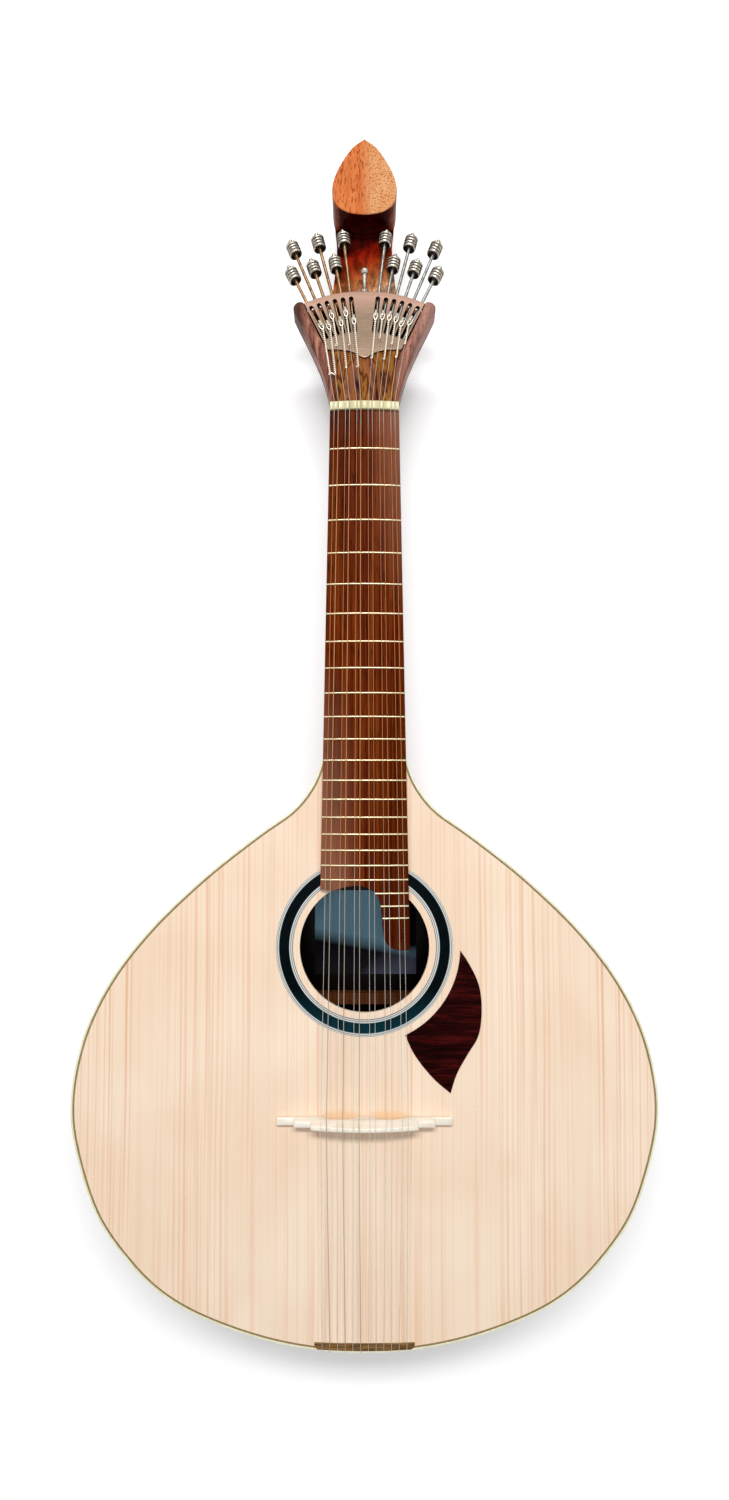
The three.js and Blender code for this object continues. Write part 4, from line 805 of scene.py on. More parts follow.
# Under the tuner plate the recess is painted nearly black as shade, to the edges of the plate's fan.
RECESS_SPREAD = math.radians(25.5)
RECESS_RADIUS = 92.5
from_fan = add(tree, "VectorMath", {0: local, 1: (0, FAN_CENTRE.y * MM, 0)}, operation="SUBTRACT")
fan_reach = add(tree, "VectorMath", {0: from_fan}, operation="LENGTH").outputs["Value"]
to_side = add(tree, "Math", {0: x, 1: fan_reach}, operation="DIVIDE")
to_side = add(tree, "Math", {0: to_side}, operation="ABSOLUTE")
in_fan_width = add(tree, "Math", {0: to_side, 1: math.sin(RECESS_SPREAD)}, operation="LESS_THAN")
in_fan_reach = add(tree, "Math", {0: fan_reach, 1: RECESS_RADIUS * MM}, operation="LESS_THAN")
recess_shade = add(tree, "Math", {0: in_fan_width, 1: in_fan_reach}, operation="MULTIPLY")
recess_shade = add(tree, "Math", {0: recess_shade, 1: past_nut}, operation="MULTIPLY")
hollow = add(tree, "MixRGB", {0: recess_shade, 1: hollow, 2: "#0e0504"})
# The teardrop's face: bare wood, with long pores on the bass side and end grain on the treble side.
edge = add(tree, "MapRange", {0: z, 1: 9.4 * MM, 2: 9.9 * MM})
bare_tone = add(tree, "ValToRGB", {0: figure(tree, 5, 50)},
                [(0.3, "#c26230"), (0.5, "#ce7340"), (0.7, "#d8834d")])
pale_tone = add(tree, "ValToRGB", {0: figure(tree, 5, 30)}, [(0.3, "#d49059"), (0.7, "#dda577")])
long_pores = add(tree, "ValToRGB", {0: figure(tree, 1.0, 34, "Y", 0.1, 1.5)},
                 [(0.52, BLACK), (0.64, (0.85, 0.85, 0.85, 1))])
end_pores = add(tree, "ValToRGB", {0: figure(tree, 1.0, 1.3, "Y", 0.1, 1.5)},
                [(0.52, BLACK), (0.64, (0.75, 0.75, 0.75, 1))])
middle = add(tree, "MapRange", {0: x, 1: -3 * MM, 2: 5 * MM})
bare_tone = add(tree, "MixRGB", {0: middle, 1: bare_tone, 2: pale_tone})
face_pores = add(tree, "MixRGB", {0: middle, 1: long_pores, 2: end_pores})
face = add(tree, "MixRGB", {0: face_pores, 1: bare_tone, 2: "#8a3c1c"})
# The pores show all over the stained wood, which is glossier than the bare face.
dark_pores = add(tree, "ValToRGB", {0: figure(tree, 0.5, 12, "Y", 0.1, 2.0)},
                 [(0.58, BLACK), (0.7, WHITE)])
pored = add(tree, "MixRGB", {0: dark_pores, 1: hollow, 2: "#240b07"})
both = add(tree, "MixRGB", {0: edge, 1: pored, 2: face})
feed(both, surface, "Base Color")
matt = add(tree, "MapRange", {0: edge, 3: 0.28, 4: 0.5})
feed(matt, surface, "Roughness")
dent = add(tree, "Bump", {"Height": dark_pores, "Strength": 0.2, "Distance": 0.05 * MM}, invert=True)
feed(dent, surface, "Normal")
fitted(neck, "root", "neck_wood", [stained_mahogany], "neck")
for name, side in (("treble", 1), ("bass", -1)):
    ear = shaped("mahogany_cheek_" + name, cheek_rail(side, 6, -HEAD_THICKNESS), HEAD_PLACE)
    fitted(ear, "root", "neck_wood", [stained_mahogany], "neck")

# The fingerboard: rosewood, planed to a camber of 150 mm radius and oiled, glued on the neck.
# Its end sweeps out over the soundhole on the treble side, where it carries the last three frets.
BOARD_TOP = 91.0
CAMBER_RADIUS = 150.0
BOARD_SHORT = 320.5
SWEEP_WIDTH = 24.0
BOARD_END = [(-1, -0.03), (-0.74, 0), (-0.43, -0.065), (-0.1, -0.085)]
SWEEP = [(1, 0), (0.84, 0.16), (0.77, 0.41), (0.74, 0.64), (0.66, 0.86), (0.5, 0.96), (0.28, 1)]
SWEEP_STEPS = 70


def camber(x):
    """How far the board's top has fallen at a distance from its middle."""
    return CAMBER_RADIUS - math.sqrt(CAMBER_RADIUS ** 2 - x ** 2)


def board_y(along):
    """How far up the body the board's end reaches, by a share of the sweep's length."""
    return NUT_Y - (BOARD_SHORT + along * (BOARD_LENGTH - BOARD_SHORT))


long_half = board_half(BOARD_LENGTH)
board_knots = [(across * board_half(BOARD_SHORT), board_y(along)) for across, along in BOARD_END]
board_knots += [(long_half - across * SWEEP_WIDTH, board_y(along)) for across, along in SWEEP]
board_end = smooth_line(board_knots, SWEEP_STEPS)
board_line = [Vector((NUT_WIDTH / 2, NUT_Y)), Vector((-NUT_WIDTH / 2, NUT_Y)), *board_end,
              Vector((long_half, NUT_Y - BOARD_LENGTH))]
board = shaped("rosewood_fingerboard", raised([board_line], BODY_DEPTH, BOARD_TOP, 0.35))
arched = bmesh.new()
arched.from_mesh(board.data)
for line in range(-14, 15):
    bmesh.ops.bisect_plane(arched, geom=arched.verts[:] + arched.edges[:] + arched.faces[:],
                           plane_co=(line * 2 * MM, 0, 0), plane_no=(1, 0, 0))
for corner in arched.verts:
    lift = (corner.co.z / MM - BODY_DEPTH) / (BOARD_TOP - BODY_DEPTH)
    corner.co.z -= camber(corner.co.x / MM) * lift * MM
arched.to_mesh(board.data)
arched.free()

# Rosewood, quarter sawn and oiled: red-brown with straight dark streaks 1.7 mm apart and open pores.
oiled_rosewood = wood("oiled_rosewood", ("#3a0b00", "#602103", "#7e3b0b", "#180300"),
                      1.7, 150, 0.55, Roughness=0.4, Specular_IOR_Level=0.015)
# A painted sheen pales the treble side by the nut and the bass side by the body, and painted shade
# keeps the two other corners dark and red.
tree, surface, figured = reopened(oiled_rosewood)
place, x, y, z = whereabouts(tree)
to_treble = add(tree, "Math", {0: x, 1: 25 * MM}, operation="DIVIDE")
from_middle = add(tree, "Math", {0: y, 1: 320 * MM}, operation="SUBTRACT")
to_nut = add(tree, "Math", {0: from_middle, 1: 146 * MM}, operation="DIVIDE")
corners = add(tree, "Math", {0: to_treble, 1: to_nut}, operation="MULTIPLY")
pale = add(tree, "MapRange", {0: corners, 1: 0.1, 2: 0.85, 4: 0.5})
deep = add(tree, "MapRange", {0: corners, 1: -0.1, 2: -0.8, 4: 0.5})
painted_sheen = add(tree, "MixRGB", {0: pale, 1: figured, 2: "#a27058"})
sheen_and_shade = add(tree, "MixRGB", {0: deep, 1: painted_sheen, 2: "#2c0800"})
feed(sheen_and_shade, surface, "Base Color")
fitted(board, "root", "rosewood", [oiled_rosewood], "fingerboard")

# The frets: half-round nickel-silver wire, 1.3 mm wide, pressed into slots and filed level.
# The first nineteen cross the whole board and the last three only its treble extension.
FRET_HALF = 0.65
FRET_RISE = 1.0
FRET_ROOT = 88
FRET_STEPS = 16
frets = []
for fret in range(1, 23):
    distance = NUT_Y * (1 - 2 ** (-fret / 12))
    right = board_half(distance) - 0.3
    left = -right
    if distance > BOARD_SHORT - 2:
        left = min((point.x for point in board_end[25:] if abs(NUT_Y - point.y - distance) < 1.2),
                   default=11.5) + 0.3
    rings = []
    for step in range(FRET_STEPS + 1):
        x = left + (right - left) * step / FRET_STEPS
        shrink = 0.75 if step in (0, FRET_STEPS) else 1.0
        ring = [Vector((x, NUT_Y - distance + FRET_HALF * math.cos(math.pi * turn / 8),
                        BOARD_TOP - camber(x) + FRET_RISE * shrink * math.sin(math.pi * turn / 8)))
                for turn in range(9)]
        rings.append([Vector((x, NUT_Y - distance + FRET_HALF, FRET_ROOT)), *ring,
                      Vector((x, NUT_Y - distance - FRET_HALF, FRET_ROOT))])
    frets.append(lofted(rings))
# Nickel silver, filed and polished: warm silver with faint streaks along each wire.
nickel_silver, tree, surface = new_finish("filed_nickel_silver", Metallic=1.0, Roughness=0.3)
brushed = add(tree, "ValToRGB", {0: figure(tree, 0.8, 6, "X")}, [(0.3, "#c4b48c"), (0.7, "#eadebc")])
feed(brushed, surface, "Base Color")
fret_wires = shaped("nickel_silver_frets", joined(*frets))
fitted(fret_wires, "root", "rosewood", [nickel_silver], "fingerboard")

# The head veneer: striped rosewood with yellow sapwood, sawn thin and glued between the cheeks.
# Its stripes run up the head, 3 to 6 mm wide, with fine dark pores, under the same gloss as the neck.
VENEER_RADIUS = 58.2
VENEER_ANGLE = 0.46
veneer_side = [Vector((20.8, 0.5)), Vector((21.2, 12.0)), Vector((21.9, 35.7)), Vector((26.4, 45.6))]
veneer_line = (veneer_side + fan_arc(VENEER_RADIUS, VENEER_ANGLE, -VENEER_ANGLE, 24)
               + mirrored(veneer_side))
veneer = shaped("striped_head_veneer", raised([veneer_line], 0.1, 1.8, 0.15), HEAD_PLACE)
striped_rosewood, tree, surface = new_finish("striped_rosewood_veneer", Roughness=0.3,
                                             Specular_IOR_Level=0.02)
stripes = add(tree, "ValToRGB", {0: figure(tree, 6.5, 300, "Y", 0.15, 2.0)},
              [(0.3, "#3a1410"), (0.38, "#804a30"), (0.44, "#985e34"), (0.49, "#4e1c0a"),
               (0.54, "#98662a"), (0.6, "#7c4418"), (0.65, "#461a0a"), (0.72, "#8a5638")])
fine = add(tree, "ValToRGB", {0: figure(tree, 0.6, 14, "Y", 0.1, 2.0)},
           [(0.54, BLACK), (0.75, (0.8, 0.8, 0.8, 1))])
veined = add(tree, "MixRGB", {0: fine, 1: stripes, 2: "#36130a"})
feed(veined, surface, "Base Color")
fitted(veneer, "root", "striped_veneer", [striped_rosewood], "head_veneer")

# The nut and the bridge: cattle bone, sawn, filed and polished, cream with faint darker clouds.
# The nut is glued at the board's end, and the strings' pressure holds the bridge.
PLAIN_WIRE = 0.15
WOUND_WIRE = 0.26
WIRE = [PLAIN_WIRE] * 12
WIRE[1] = WIRE[3] = WIRE[5] = WOUND_WIRE
NUT_TOP = 93.2
BRIDGE_TOP = 101.4


def course_x(place, courses, pairs):
    """Where a string crosses: six courses, each of two strings."""
    return (place // 2 - 2.5) * courses + (pairs / 2 if place % 2 else -pairs / 2)


def bone(name, dark, pale):
    """Polished bone: two creams in soft clouds, drawn out across the instrument."""
    made, tree, surface = new_finish(name, Roughness=0.3, Subsurface_Weight=0.15, Subsurface_Scale=0.002)
    cream = add(tree, "ValToRGB", {0: figure(tree, 5, 14, "X")},
                [(0.35, dark), (0.65, pale)])
    feed(cream, surface, "Base Color")
    return made


def own_copy(name, node, soft, segments=3):
    """A copy of a node's mesh with its flat faces whole again and its edges rounded."""
    mesh = nodes[node].data.copy()
    mesh.materials.clear()
    made = bmesh.new()
    made.from_mesh(mesh)
    bmesh.ops.remove_doubles(made, verts=made.verts, dist=2e-6)
    bmesh.ops.dissolve_limit(made, angle_limit=math.radians(1), verts=made.verts, edges=made.edges)
    made.to_mesh(mesh)
    made.free()
    for attribute in ("custom_normal", "sharp_face", "sharp_edge"):
        if attribute in mesh.attributes:
            mesh.attributes.remove(mesh.attributes[attribute])
    smoothed(mesh, 40)
    piece = placed(name, mesh)
    rounding = piece.modifiers.new("edges eased", "BEVEL")
    rounding.width = soft * MM
    rounding.segments = segments
    rounding.angle_limit = math.radians(30)
    rounding.harden_normals = True
    return piece


def notched(piece, spots):
    """Files a round notch under each string."""
    settle(piece)
    files = []
    for x, z, radius, ends in spots:
        turns = [math.pi * turn / 6 for turn in range(12)]
        files.append(lofted([[Vector((x + radius * math.cos(turn), y, z + radius * math.sin(turn)))
                              for turn in turns] for y in ends]))
    cut(piece, shaped("notches", joined(*files)), "DIFFERENCE")
    smoothed(piece.data, 32)
    return piece


# A string's middle stands above the bone by a share of its radius, in a notch a little wider than it.
STANDING = 0.55
NOTCH_SPARE = 0.15
NUT_COURSES, NUT_PAIRS = 7.55, 2.75
BRIDGE_COURSES, BRIDGE_PAIRS = 10.4, 3.6
nut_x = [course_x(place, NUT_COURSES, NUT_PAIRS) for place in range(12)]
bridge_x = [course_x(place, BRIDGE_COURSES, BRIDGE_PAIRS) for place in range(12)]
nut_z = [NUT_TOP - camber(x) + STANDING * radius for x, radius in zip(nut_x, WIRE)]
bridge_z = [BRIDGE_TOP - camber(x) + STANDING * radius for x, radius in zip(bridge_x, WIRE)]
nut = notched(own_copy("bone_nut", "nut", 0.5),
              [(x, z, radius + NOTCH_SPARE, (NUT_Y - 3, NUT_Y + 9))
               for x, z, radius in zip(nut_x, nut_z, WIRE)])
fitted(nut, "root", "bone", [bone("polished_bone_nut", "#d0c999", "#dad3a8")], "nut")
bridge = notched(own_copy("bone_bridge", "bridge", 1.1),
                 [(x, z, radius + NOTCH_SPARE, (-5, 5)) for x, z, radius in zip(bridge_x, bridge_z, WIRE)])
fitted(bridge, "root", "bone", [bone("polished_bone_bridge", "#ece2d1", "#f4ede0")], "bridge")

# The tuner plate: a fan of nickel-plated brass sheet, sawn, its twelve slots milled, brushed dull.
# Its arc edge is folded down as a flange, in which the screws turn, and a turned post is riveted on.
PLATE_LOW = 2.1
PLATE_HIGH = 3.3
PLATE_RADIUS = 94.5
PLATE_HALF = 42.0
FOOT_HALF = 25.2
FLANGE_INNER = 93.3
FLANGE_DEPTH = 6
SCREW_LEVEL = -1.3
PLATE_FOOT = 42.0
ANGLES = [math.radians(6 + 3.7 * step) for step in range(6)]
ANGLES = [-angle for angle in reversed(ANGLES)] + ANGLES
plate_angle = math.asin(PLATE_HALF / PLATE_RADIUS)
plate_point = smooth_line([(-15, PLATE_FOOT), (-7.5, PLATE_FOOT - 2.1), (0, PLATE_FOOT - 6.3),
                           (7.5, PLATE_FOOT - 2.1), (15, PLATE_FOOT)], 40)
plate_line = (fan_arc(PLATE_RADIUS, plate_angle, -plate_angle, 60) + [Vector((-FOOT_HALF, PLATE_FOOT))]
              + plate_point + [Vector((FOOT_HALF, PLATE_FOOT))])


def slot_line(angle):
    """A long hole with round ends, pointing at the fan's centre."""
    half, near, far = 1.3, 63.3, 89.0
    turns = [math.pi * turn / 8 for turn in range(9)]
    points = [Vector((half * math.cos(turn), far + half * math.sin(turn))) for turn in turns]
    points += [Vector((-half * math.cos(turn), near - half * math.sin(turn))) for turn in turns]
    aslant = Matrix.Rotation(-angle, 2)
    return [aslant @ point + FAN_CENTRE for point in points]


flange_line = (fan_arc(PLATE_RADIUS, -plate_angle, plate_angle, 60)
               + fan_arc(FLANGE_INNER, plate_angle, -plate_angle, 60))
plate = shaped("nickel_tuner_plate", joined(
    raised([plate_line] + [slot_line(angle) for angle in ANGLES], PLATE_LOW, PLATE_HIGH, 0.3),
    raised([flange_line], PLATE_LOW - FLANGE_DEPTH, PLATE_LOW + 0.6, 0.2)), HEAD_PLACE)
# Old plating turns darker at a piece's edges, where it is seen at a grazing angle.
EDGE_TINT = "#15120f"


def brushed_metal(name, dark, pale, across, along, grain="X", tint=EDGE_TINT, **values):
    """Plating or steel in two shades, with scratches so far apart and so long along the grain."""
    made, tree, surface = new_finish(name, Metallic=1.0, Specular_Tint=tint, **values)
    brushing = figure(tree, across, along, grain)
    shade = add(tree, "ValToRGB", {0: brushing}, [(0.3, dark), (0.7, pale)])
    feed(shade, surface, "Base Color")
    scratch = add(tree, "Bump", {"Height": brushing, "Strength": 0.15, "Distance": 0.02 * MM})
    feed(scratch, surface, "Normal")
    return made


# Nickel plate, brushed and gone dull: warm grey with short fine scratches across the plate.
brushed_nickel = brushed_metal("brushed_nickel_plate", "#6a594b", "#84705f", 0.5, 9, Roughness=0.38)
# It is brighter and warmer along its folded edge, where fingers have kept it clean.
tree, surface, dulled = reopened(brushed_nickel)
place = add(tree, "TexCoord").outputs["Object"]
fan_middle = HEAD_PLACE @ Vector((0, FAN_CENTRE.y * MM, SCREW_LEVEL * MM))
out = add(tree, "VectorMath", {0: place, 1: fan_middle}, operation="DISTANCE")
near_fold = add(tree, "MapRange", {0: out.outputs["Value"], 1: 76 * MM, 2: 90 * MM, 4: 0.85})
rubbed = add(tree, "MixRGB", {0: near_fold, 1: dulled, 2: "#a08070"})
feed(rubbed, surface, "Base Color")
# The hooks have worn the plating off the edges of the slots, and painted shade makes them dark brown.
slot_wear_and_shade = brushed_metal("slot_edges_worn_and_shaded", "#140c09", "#2e211b", 0.4, 2, Roughness=0.45)
fitted(plate, "root", "nickel_plate", [brushed_nickel, slot_wear_and_shade], "tuner_plate")


def turned(profile, sides=28, dull=()):
    """A piece turned about the Y axis, from (radius, distance) pairs, and the rows in its grooves."""
    turns = [2 * math.pi * turn / sides for turn in range(sides)]
    rings = [[Vector((radius * math.sin(turn), along, radius * math.cos(turn))) for turn in turns]
             for radius, along in profile]
    corners, faces, _ = lofted(rings)
    return corners, faces, [row * sides + side for row in dull for side in range(sides)]


def in_fan(angle):
    """Where a piece turned about the Y axis goes, so that it points at the fan's centre."""
    return (HEAD_PLACE @ Matrix.Translation((0, FAN_CENTRE.y * MM, SCREW_LEVEL * MM))
            @ Matrix.Rotation(-angle, 4, "Z"))


post_profile = [
    (0.05, 94.3), (2.8, 94.3), (3.0, 94.9), (2.95, 95.7), (2.2, 96.2), (2.3, 96.7), (2.75, 97.2),
    (2.7, 98.2), (1.9, 98.9), (1.25, 99.8), (1.15, 101.5), (1.25, 104.5), (1.5, 107.5),
    (1.75, 110.0), (1.7, 111.3), (1.5, 111.9), (1.6, 112.5), (2.5, 113.2), (2.8, 114.1),
    (2.75, 115.2), (2.1, 116.1), (1.3, 116.8), (1.0, 117.6), (0.6, 118.3), (0.05, 118.5),
]
# Old nickel plate, turned and polished: bright, with soft warm grey patches 2 mm wide.
aged_nickel = brushed_metal("aged_nickel_turned", "#8f857a", "#dad2c6", 1.4, 2.5, Roughness=0.28)
# Tarnish has stayed in the turned grooves, which are brown and dull.
dull_groove = brushed_metal("tarnished_groove", "#2b2622", "#5c544b", 1.4, 2.5, Roughness=0.5)
post = shaped("turned_nickel_post", turned(post_profile, dull=(4, 8, 15)), in_fan(0))
fitted(post, "root", "nickel_plate", [aged_nickel, dull_groove], "tuner_plate")

# The screws: steel rods, cut with a fine thread, each with a collar outside the flange.
# Their knobs are turned from brass in ringed barrels, hollow below, and plated with nickel, now aged.
KNOB_PLACES = (141.8, 122.1)
KNOB_RADIUS = 4.65
KNOB_LENGTH = 10.4
RIBS = 4
RIB_SHAPE = [(0.03, 0.6), (0.12, 0.2), (0.32, 0.03), (0.5, 0), (0.68, 0.03), (0.88, 0.2), (0.97, 0.6)]
# Threaded steel, tarnished: dark, but its fine thread spreads the lamp's light into a bright line
# along each rod, warmer on the bass side.
dull_rod, tree, surface = new_finish("threaded_steel_tarnished", Metallic=1.0, Roughness=0.35,
                                     Anisotropic=0.9, Specular_Tint=EDGE_TINT)
place, x, y, z = whereabouts(tree)
treble_rods = add(tree, "MapRange", {0: x, 1: -10 * MM, 2: 14 * MM})
rod_tone = add(tree, "MixRGB", {0: treble_rods, 1: "#b08a64", 2: "#abaaa6"})
wear = add(tree, "ValToRGB", {0: figure(tree, 2, 6)}, [(0.35, "#b0b0b0"), (0.6, WHITE)])
rod_tone = add(tree, "MixRGB", {0: 1.0, 1: rod_tone, 2: wear}, blend_type="MULTIPLY")
feed(rod_tone, surface, "Base Color")
along_rod = add(tree, "VectorMath", {0: place, 1: fan_middle}, operation="SUBTRACT")
feed(along_rod, surface, "Tangent")
# Nickel plate on the knobs, tarnished unevenly: from warm grey to bright, and still glossy.
knob_nickel = brushed_metal("tarnished_nickel_knob", "#6e665d", "#d6cdbf", 1.4, 2.5, Roughness=0.25)


def rod_profile(knob):
    """A threaded rod with its collar, up into its knob."""
    end = knob - KNOB_LENGTH / 2 + 2.4
    return [(0.05, 60.5), (0.9, 60.5), (1.1, 60.8), (1.1, 94.8), (1.8, 94.8), (1.9, 95.0),
            (1.9, 95.8), (1.8, 96.0), (1.1, 96.0), (1.1, end), (0.05, end)]


def knob_profile(knob):
    """A ringed barrel: hollow below, with four round ribs, a shoulder and a small ball on top."""
    low, high = knob - KNOB_LENGTH / 2, knob + KNOB_LENGTH / 2 - 1.3
    rib_length = (high - low) / RIBS
    profile = [(0.9, low + 2.2), (3.4, low + 2.2), (3.6, low + 1.9), (3.7, low + 0.2), (3.85, low)]
    dull = [0, 1, 2, 3]
    for rib in range(RIBS):
        start = low + rib * rib_length
        profile += [(KNOB_RADIUS - out, start + share * rib_length) for share, out in RIB_SHAPE]
        dull += [len(profile) - 2, len(profile) - 1, len(profile)]
    profile += [(3.4, high + 0.2), (2.4, high + 0.9), (1.3, high + 1.3), (1.0, high + 1.8),
                (1.3, high + 2.5), (1.45, high + 3.2), (1.3, high + 3.9), (0.8, high + 4.35),
                (0.05, high + 4.5)]
    return profile, dull


tuners = len(ANGLES)
for place, angle in enumerate(ANGLES):
    from_middle = tuners // 2 - 1 - place if place < tuners // 2 else place - tuners // 2
    knob = KNOB_PLACES[from_middle % 2]
    number = str(place + 1)
    body = "screw_" + number
    rod = shaped("steel_rod_" + number, turned(rod_profile(knob), 16), in_fan(angle))
    fitted(rod, body, "aged_nickel", [dull_rod], body)
    profile, dull = knob_profile(knob)
    barrel = shaped("nickel_knob_" + number, turned(profile, dull=dull), in_fan(angle), 50)
    fitted(barrel, body, "aged_nickel", [knob_nickel, dull_groove], body)

# The hooks: small steel carriages that ride on the screws, each with a flat hook through its slot.
# They are the shapes of the CAD model, with their edges eased.
# Steel, filed and polished bright by use: pale grey with fine scratches.
bright_steel = brushed_metal("polished_steel_hook", "#bdb6aa", "#e8e3d8", 0.8, 3, Roughness=0.22)
for place in range(tuners):
    number = str(place + 1)
    hook = own_copy("steel_hook_" + number, "hook_" + number, 0.2, 2)
    fitted(hook, "hook_" + number, "string_steel", [bright_steel], "hook_" + number)

# The tail strip: a rosewood saddle let into the top's edge, with a sawn slot for each string.
# It keeps the strings' pull off the soft spruce, and its ends are rounded off.
STRIP_TOP = 85.4
STRIP_EASE = 1.6
KERF_HALF = 0.45
KERF_DEPTH = 0.35
TAIL_SPACING = 4.95
tail_x = [(place - 5.5) * TAIL_SPACING for place in range(12)]
# Rosewood, sawn and filed, without a finish: dull yellow-brown, its grain along the strip.
sawn_rosewood = wood("sawn_rosewood_saddle", ("#4e3318", "#704f27", "#9a733e", "#35200c"),
                     1.6, 20, 0.5, grain="X", Roughness=0.5, Specular_IOR_Level=0.2)
strip_rim = rim(CREAM_WIDTH)[strip_first:strip_last + 1]
strip_line = [Vector((point.x, point.y - 0.8 * abs(point.x / STRIP_HALF) ** 2))
              for point in (strip_rim if strip_rim[0].x < 0 else strip_rim[::-1])]
strip_line = ([notch_line[-1], Vector((-STRIP_HALF, strip_line[0].y + STRIP_EASE))]
              + [point for point in strip_line if abs(point.x) < STRIP_HALF - STRIP_EASE]
              + [Vector((STRIP_HALF, strip_line[-1].y + STRIP_EASE))] + notch_line[:-1])
saddle = shaped("rosewood_tail_strip", raised([strip_line], TOP_UNDERSIDE, STRIP_TOP, 0.35))
kerfs = []
for x in tail_x:
    kerf = [Vector((x + side * KERF_HALF, y)) for side, y in ((-1, -150), (1, -150), (1, -135), (-1, -135))]
    kerfs.append(raised([kerf], STRIP_TOP - KERF_DEPTH, STRIP_TOP + 2))
cut(saddle, shaped("kerfs", joined(*kerfs)), "DIFFERENCE")
smoothed(saddle.data, 32)
fitted(saddle, "root", "rosewood", [sawn_rosewood], "tail_strip")

# The tail plate: a bent strip of nickel-plated steel screwed to the ribs, with a pin for each string.
# It is the shape of the CAD model, with its edges eased.
# Nickel plate on steel: warm grey and bright, with fine scratches along the strip.
plated_steel = brushed_metal("plated_tail_plate", "#a39a8c", "#cfc7ba", 0.6, 8, Roughness=0.32)
tail_plate = own_copy("nickel_tail_plate", "tail_plate", 0.25, 2)
fitted(tail_plate, "root", "string_steel", [plated_steel], "tail_plate")

# The strings: six double courses of steel, the thicker ones of the three low courses wound.
# Each is looped on its tail pin and on its hook, and the loop's end is twisted round the string.
STRING_TINT = "#c8b8a0"
# Drawn steel: bright and smooth, with faint streaks along the wire.
drawn_steel = brushed_metal("drawn_steel_string", "#bcbab4", "#dedbd4", 0.5, 20, "Y", STRING_TINT,
                            Roughness=0.3)


def fingered(made):
    """Browns a string's steel over the fingerboard, where the fingers tarnish it."""
    tree, surface, clean = reopened(made)
    place, x, y, z = whereabouts(tree)
    played = add(tree, "MapRange", {0: y, 1: 140 * MM, 2: 180 * MM})
    below_nut = add(tree, "MapRange", {0: y, 1: 462 * MM, 2: 448 * MM})
    played = add(tree, "Math", {0: played, 1: below_nut}, operation="MULTIPLY")
    brown = add(tree, "MixRGB", {0: played, 1: clean, 2: "#cc8e60"})
    feed(brown, surface, "Base Color")


fingered(drawn_steel)
# The twisted ends catch the light on every turn and look nearly white.
loose_ends = brushed_metal("twisted_string_ends", "#f0e4d0", "#fffaf0", 0.5, 4, "Y", STRING_TINT,
                           Roughness=0.5)
# Wound steel: ridges round the wire, with painted light on their tops and painted shade between them.
# Real windings are 0.2 mm apart. They are drawn 0.7 mm apart here, so that they show.
WINDING_PITCH = 0.7
wound_steel, tree, surface = new_finish("wound_steel_string", Metallic=1.0, Roughness=0.35)
place, x, y, z = whereabouts(tree)
turns = add(tree, "Math", {0: y, 1: 2 * math.pi / (WINDING_PITCH * MM)}, operation="MULTIPLY")
windings = add(tree, "Math", {0: turns}, operation="SINE")
level = add(tree, "MapRange", {0: windings, 1: -1.0, 2: 1.0})
windings_lit_and_shaded = add(tree, "MixRGB", {0: level, 1: "#83786a", 2: "#cfc4b2"})
feed(windings_lit_and_shaded, surface, "Base Color")
wraps = add(tree, "Bump", {"Height": level, "Strength": 0.4, "Distance": 0.1 * MM})
feed(wraps, surface, "Normal")
fingered(wound_steel)

# How far out each hook stands in its slot, and how long the twist beside it is.
HOOK_SHARES = [0.34, 0.25, 0.56, 0.26, 0.56, 0.26, 0.42, 0.44, 0.45, 0.44, 0.36, 0.5]
TWISTS = [37, 38, 22, 35, 24, 36, 32, 16, 32, 18, 26, 16]
HOOK_NEAR, HOOK_FAR = 64.5, 87.8
PIN_Y, PIN_Z = -149.05, 59.0
SADDLE_Y = -145.38
BRIDGE_HALF = 1.2
TWIST_WIRE = 0.3
TWIST_PITCH = 1.7
THROAT = PLATE_HIGH + 1.4
EYE_X, EYE_Y = 1.25, 2.9
PIN_EYE = 1.15
TO_MM = Matrix.Diagonal((1 / MM, 1 / MM, 1 / MM, 1))


def side_of(along):
    """A direction square to a wire's."""
    return along.cross(Vector((0, 0, 1)) if abs(along.z) < 0.9 else Vector((1, 0, 0))).normalized()


def wire(route, radius, sides=8):
    """Round wire bent along a route."""
    rings = []
    for before, point, after in zip(route[:1] + route, route, route[1:] + route[-1:]):
        along = ((point - before).normalized() + (after - point).normalized()).normalized()
        side = side_of(along)
        up = side.cross(along)
        rings.append([point + radius * (math.cos(2 * math.pi * t / sides) * side
                                        + math.sin(2 * math.pi * t / sides) * up) for t in range(sides)])
    return lofted(rings)


def twist(start, end, core, radius, stub=0.8):
    """A wire end wound round a string, in an even helix that ends in a stub."""
    along = (end - start).normalized()
    side = side_of(along)
    up = side.cross(along)
    count = max(int((end - start).length / TWIST_PITCH * 8), 8)
    points = []
    for step in range(count + 1):
        angle = 2 * math.pi * step / 8
        points.append(start.lerp(end, step / count)
                      + (core + radius) * (math.cos(angle) * side + math.sin(angle) * up))
    points += [points[-1] + stub * (0.4 * side + 0.3 * up),
               points[-1] + stub * (side + 0.5 * up - 0.4 * along)]
    return wire(points, radius, 6)


def beside_hook(angle, reach, x, y, w):
    """A point beside a hook that stands so far out in the fan, in millimetres."""
    return TO_MM @ in_fan(angle) @ (Vector((x, reach + y, w - SCREW_LEVEL)) * MM)


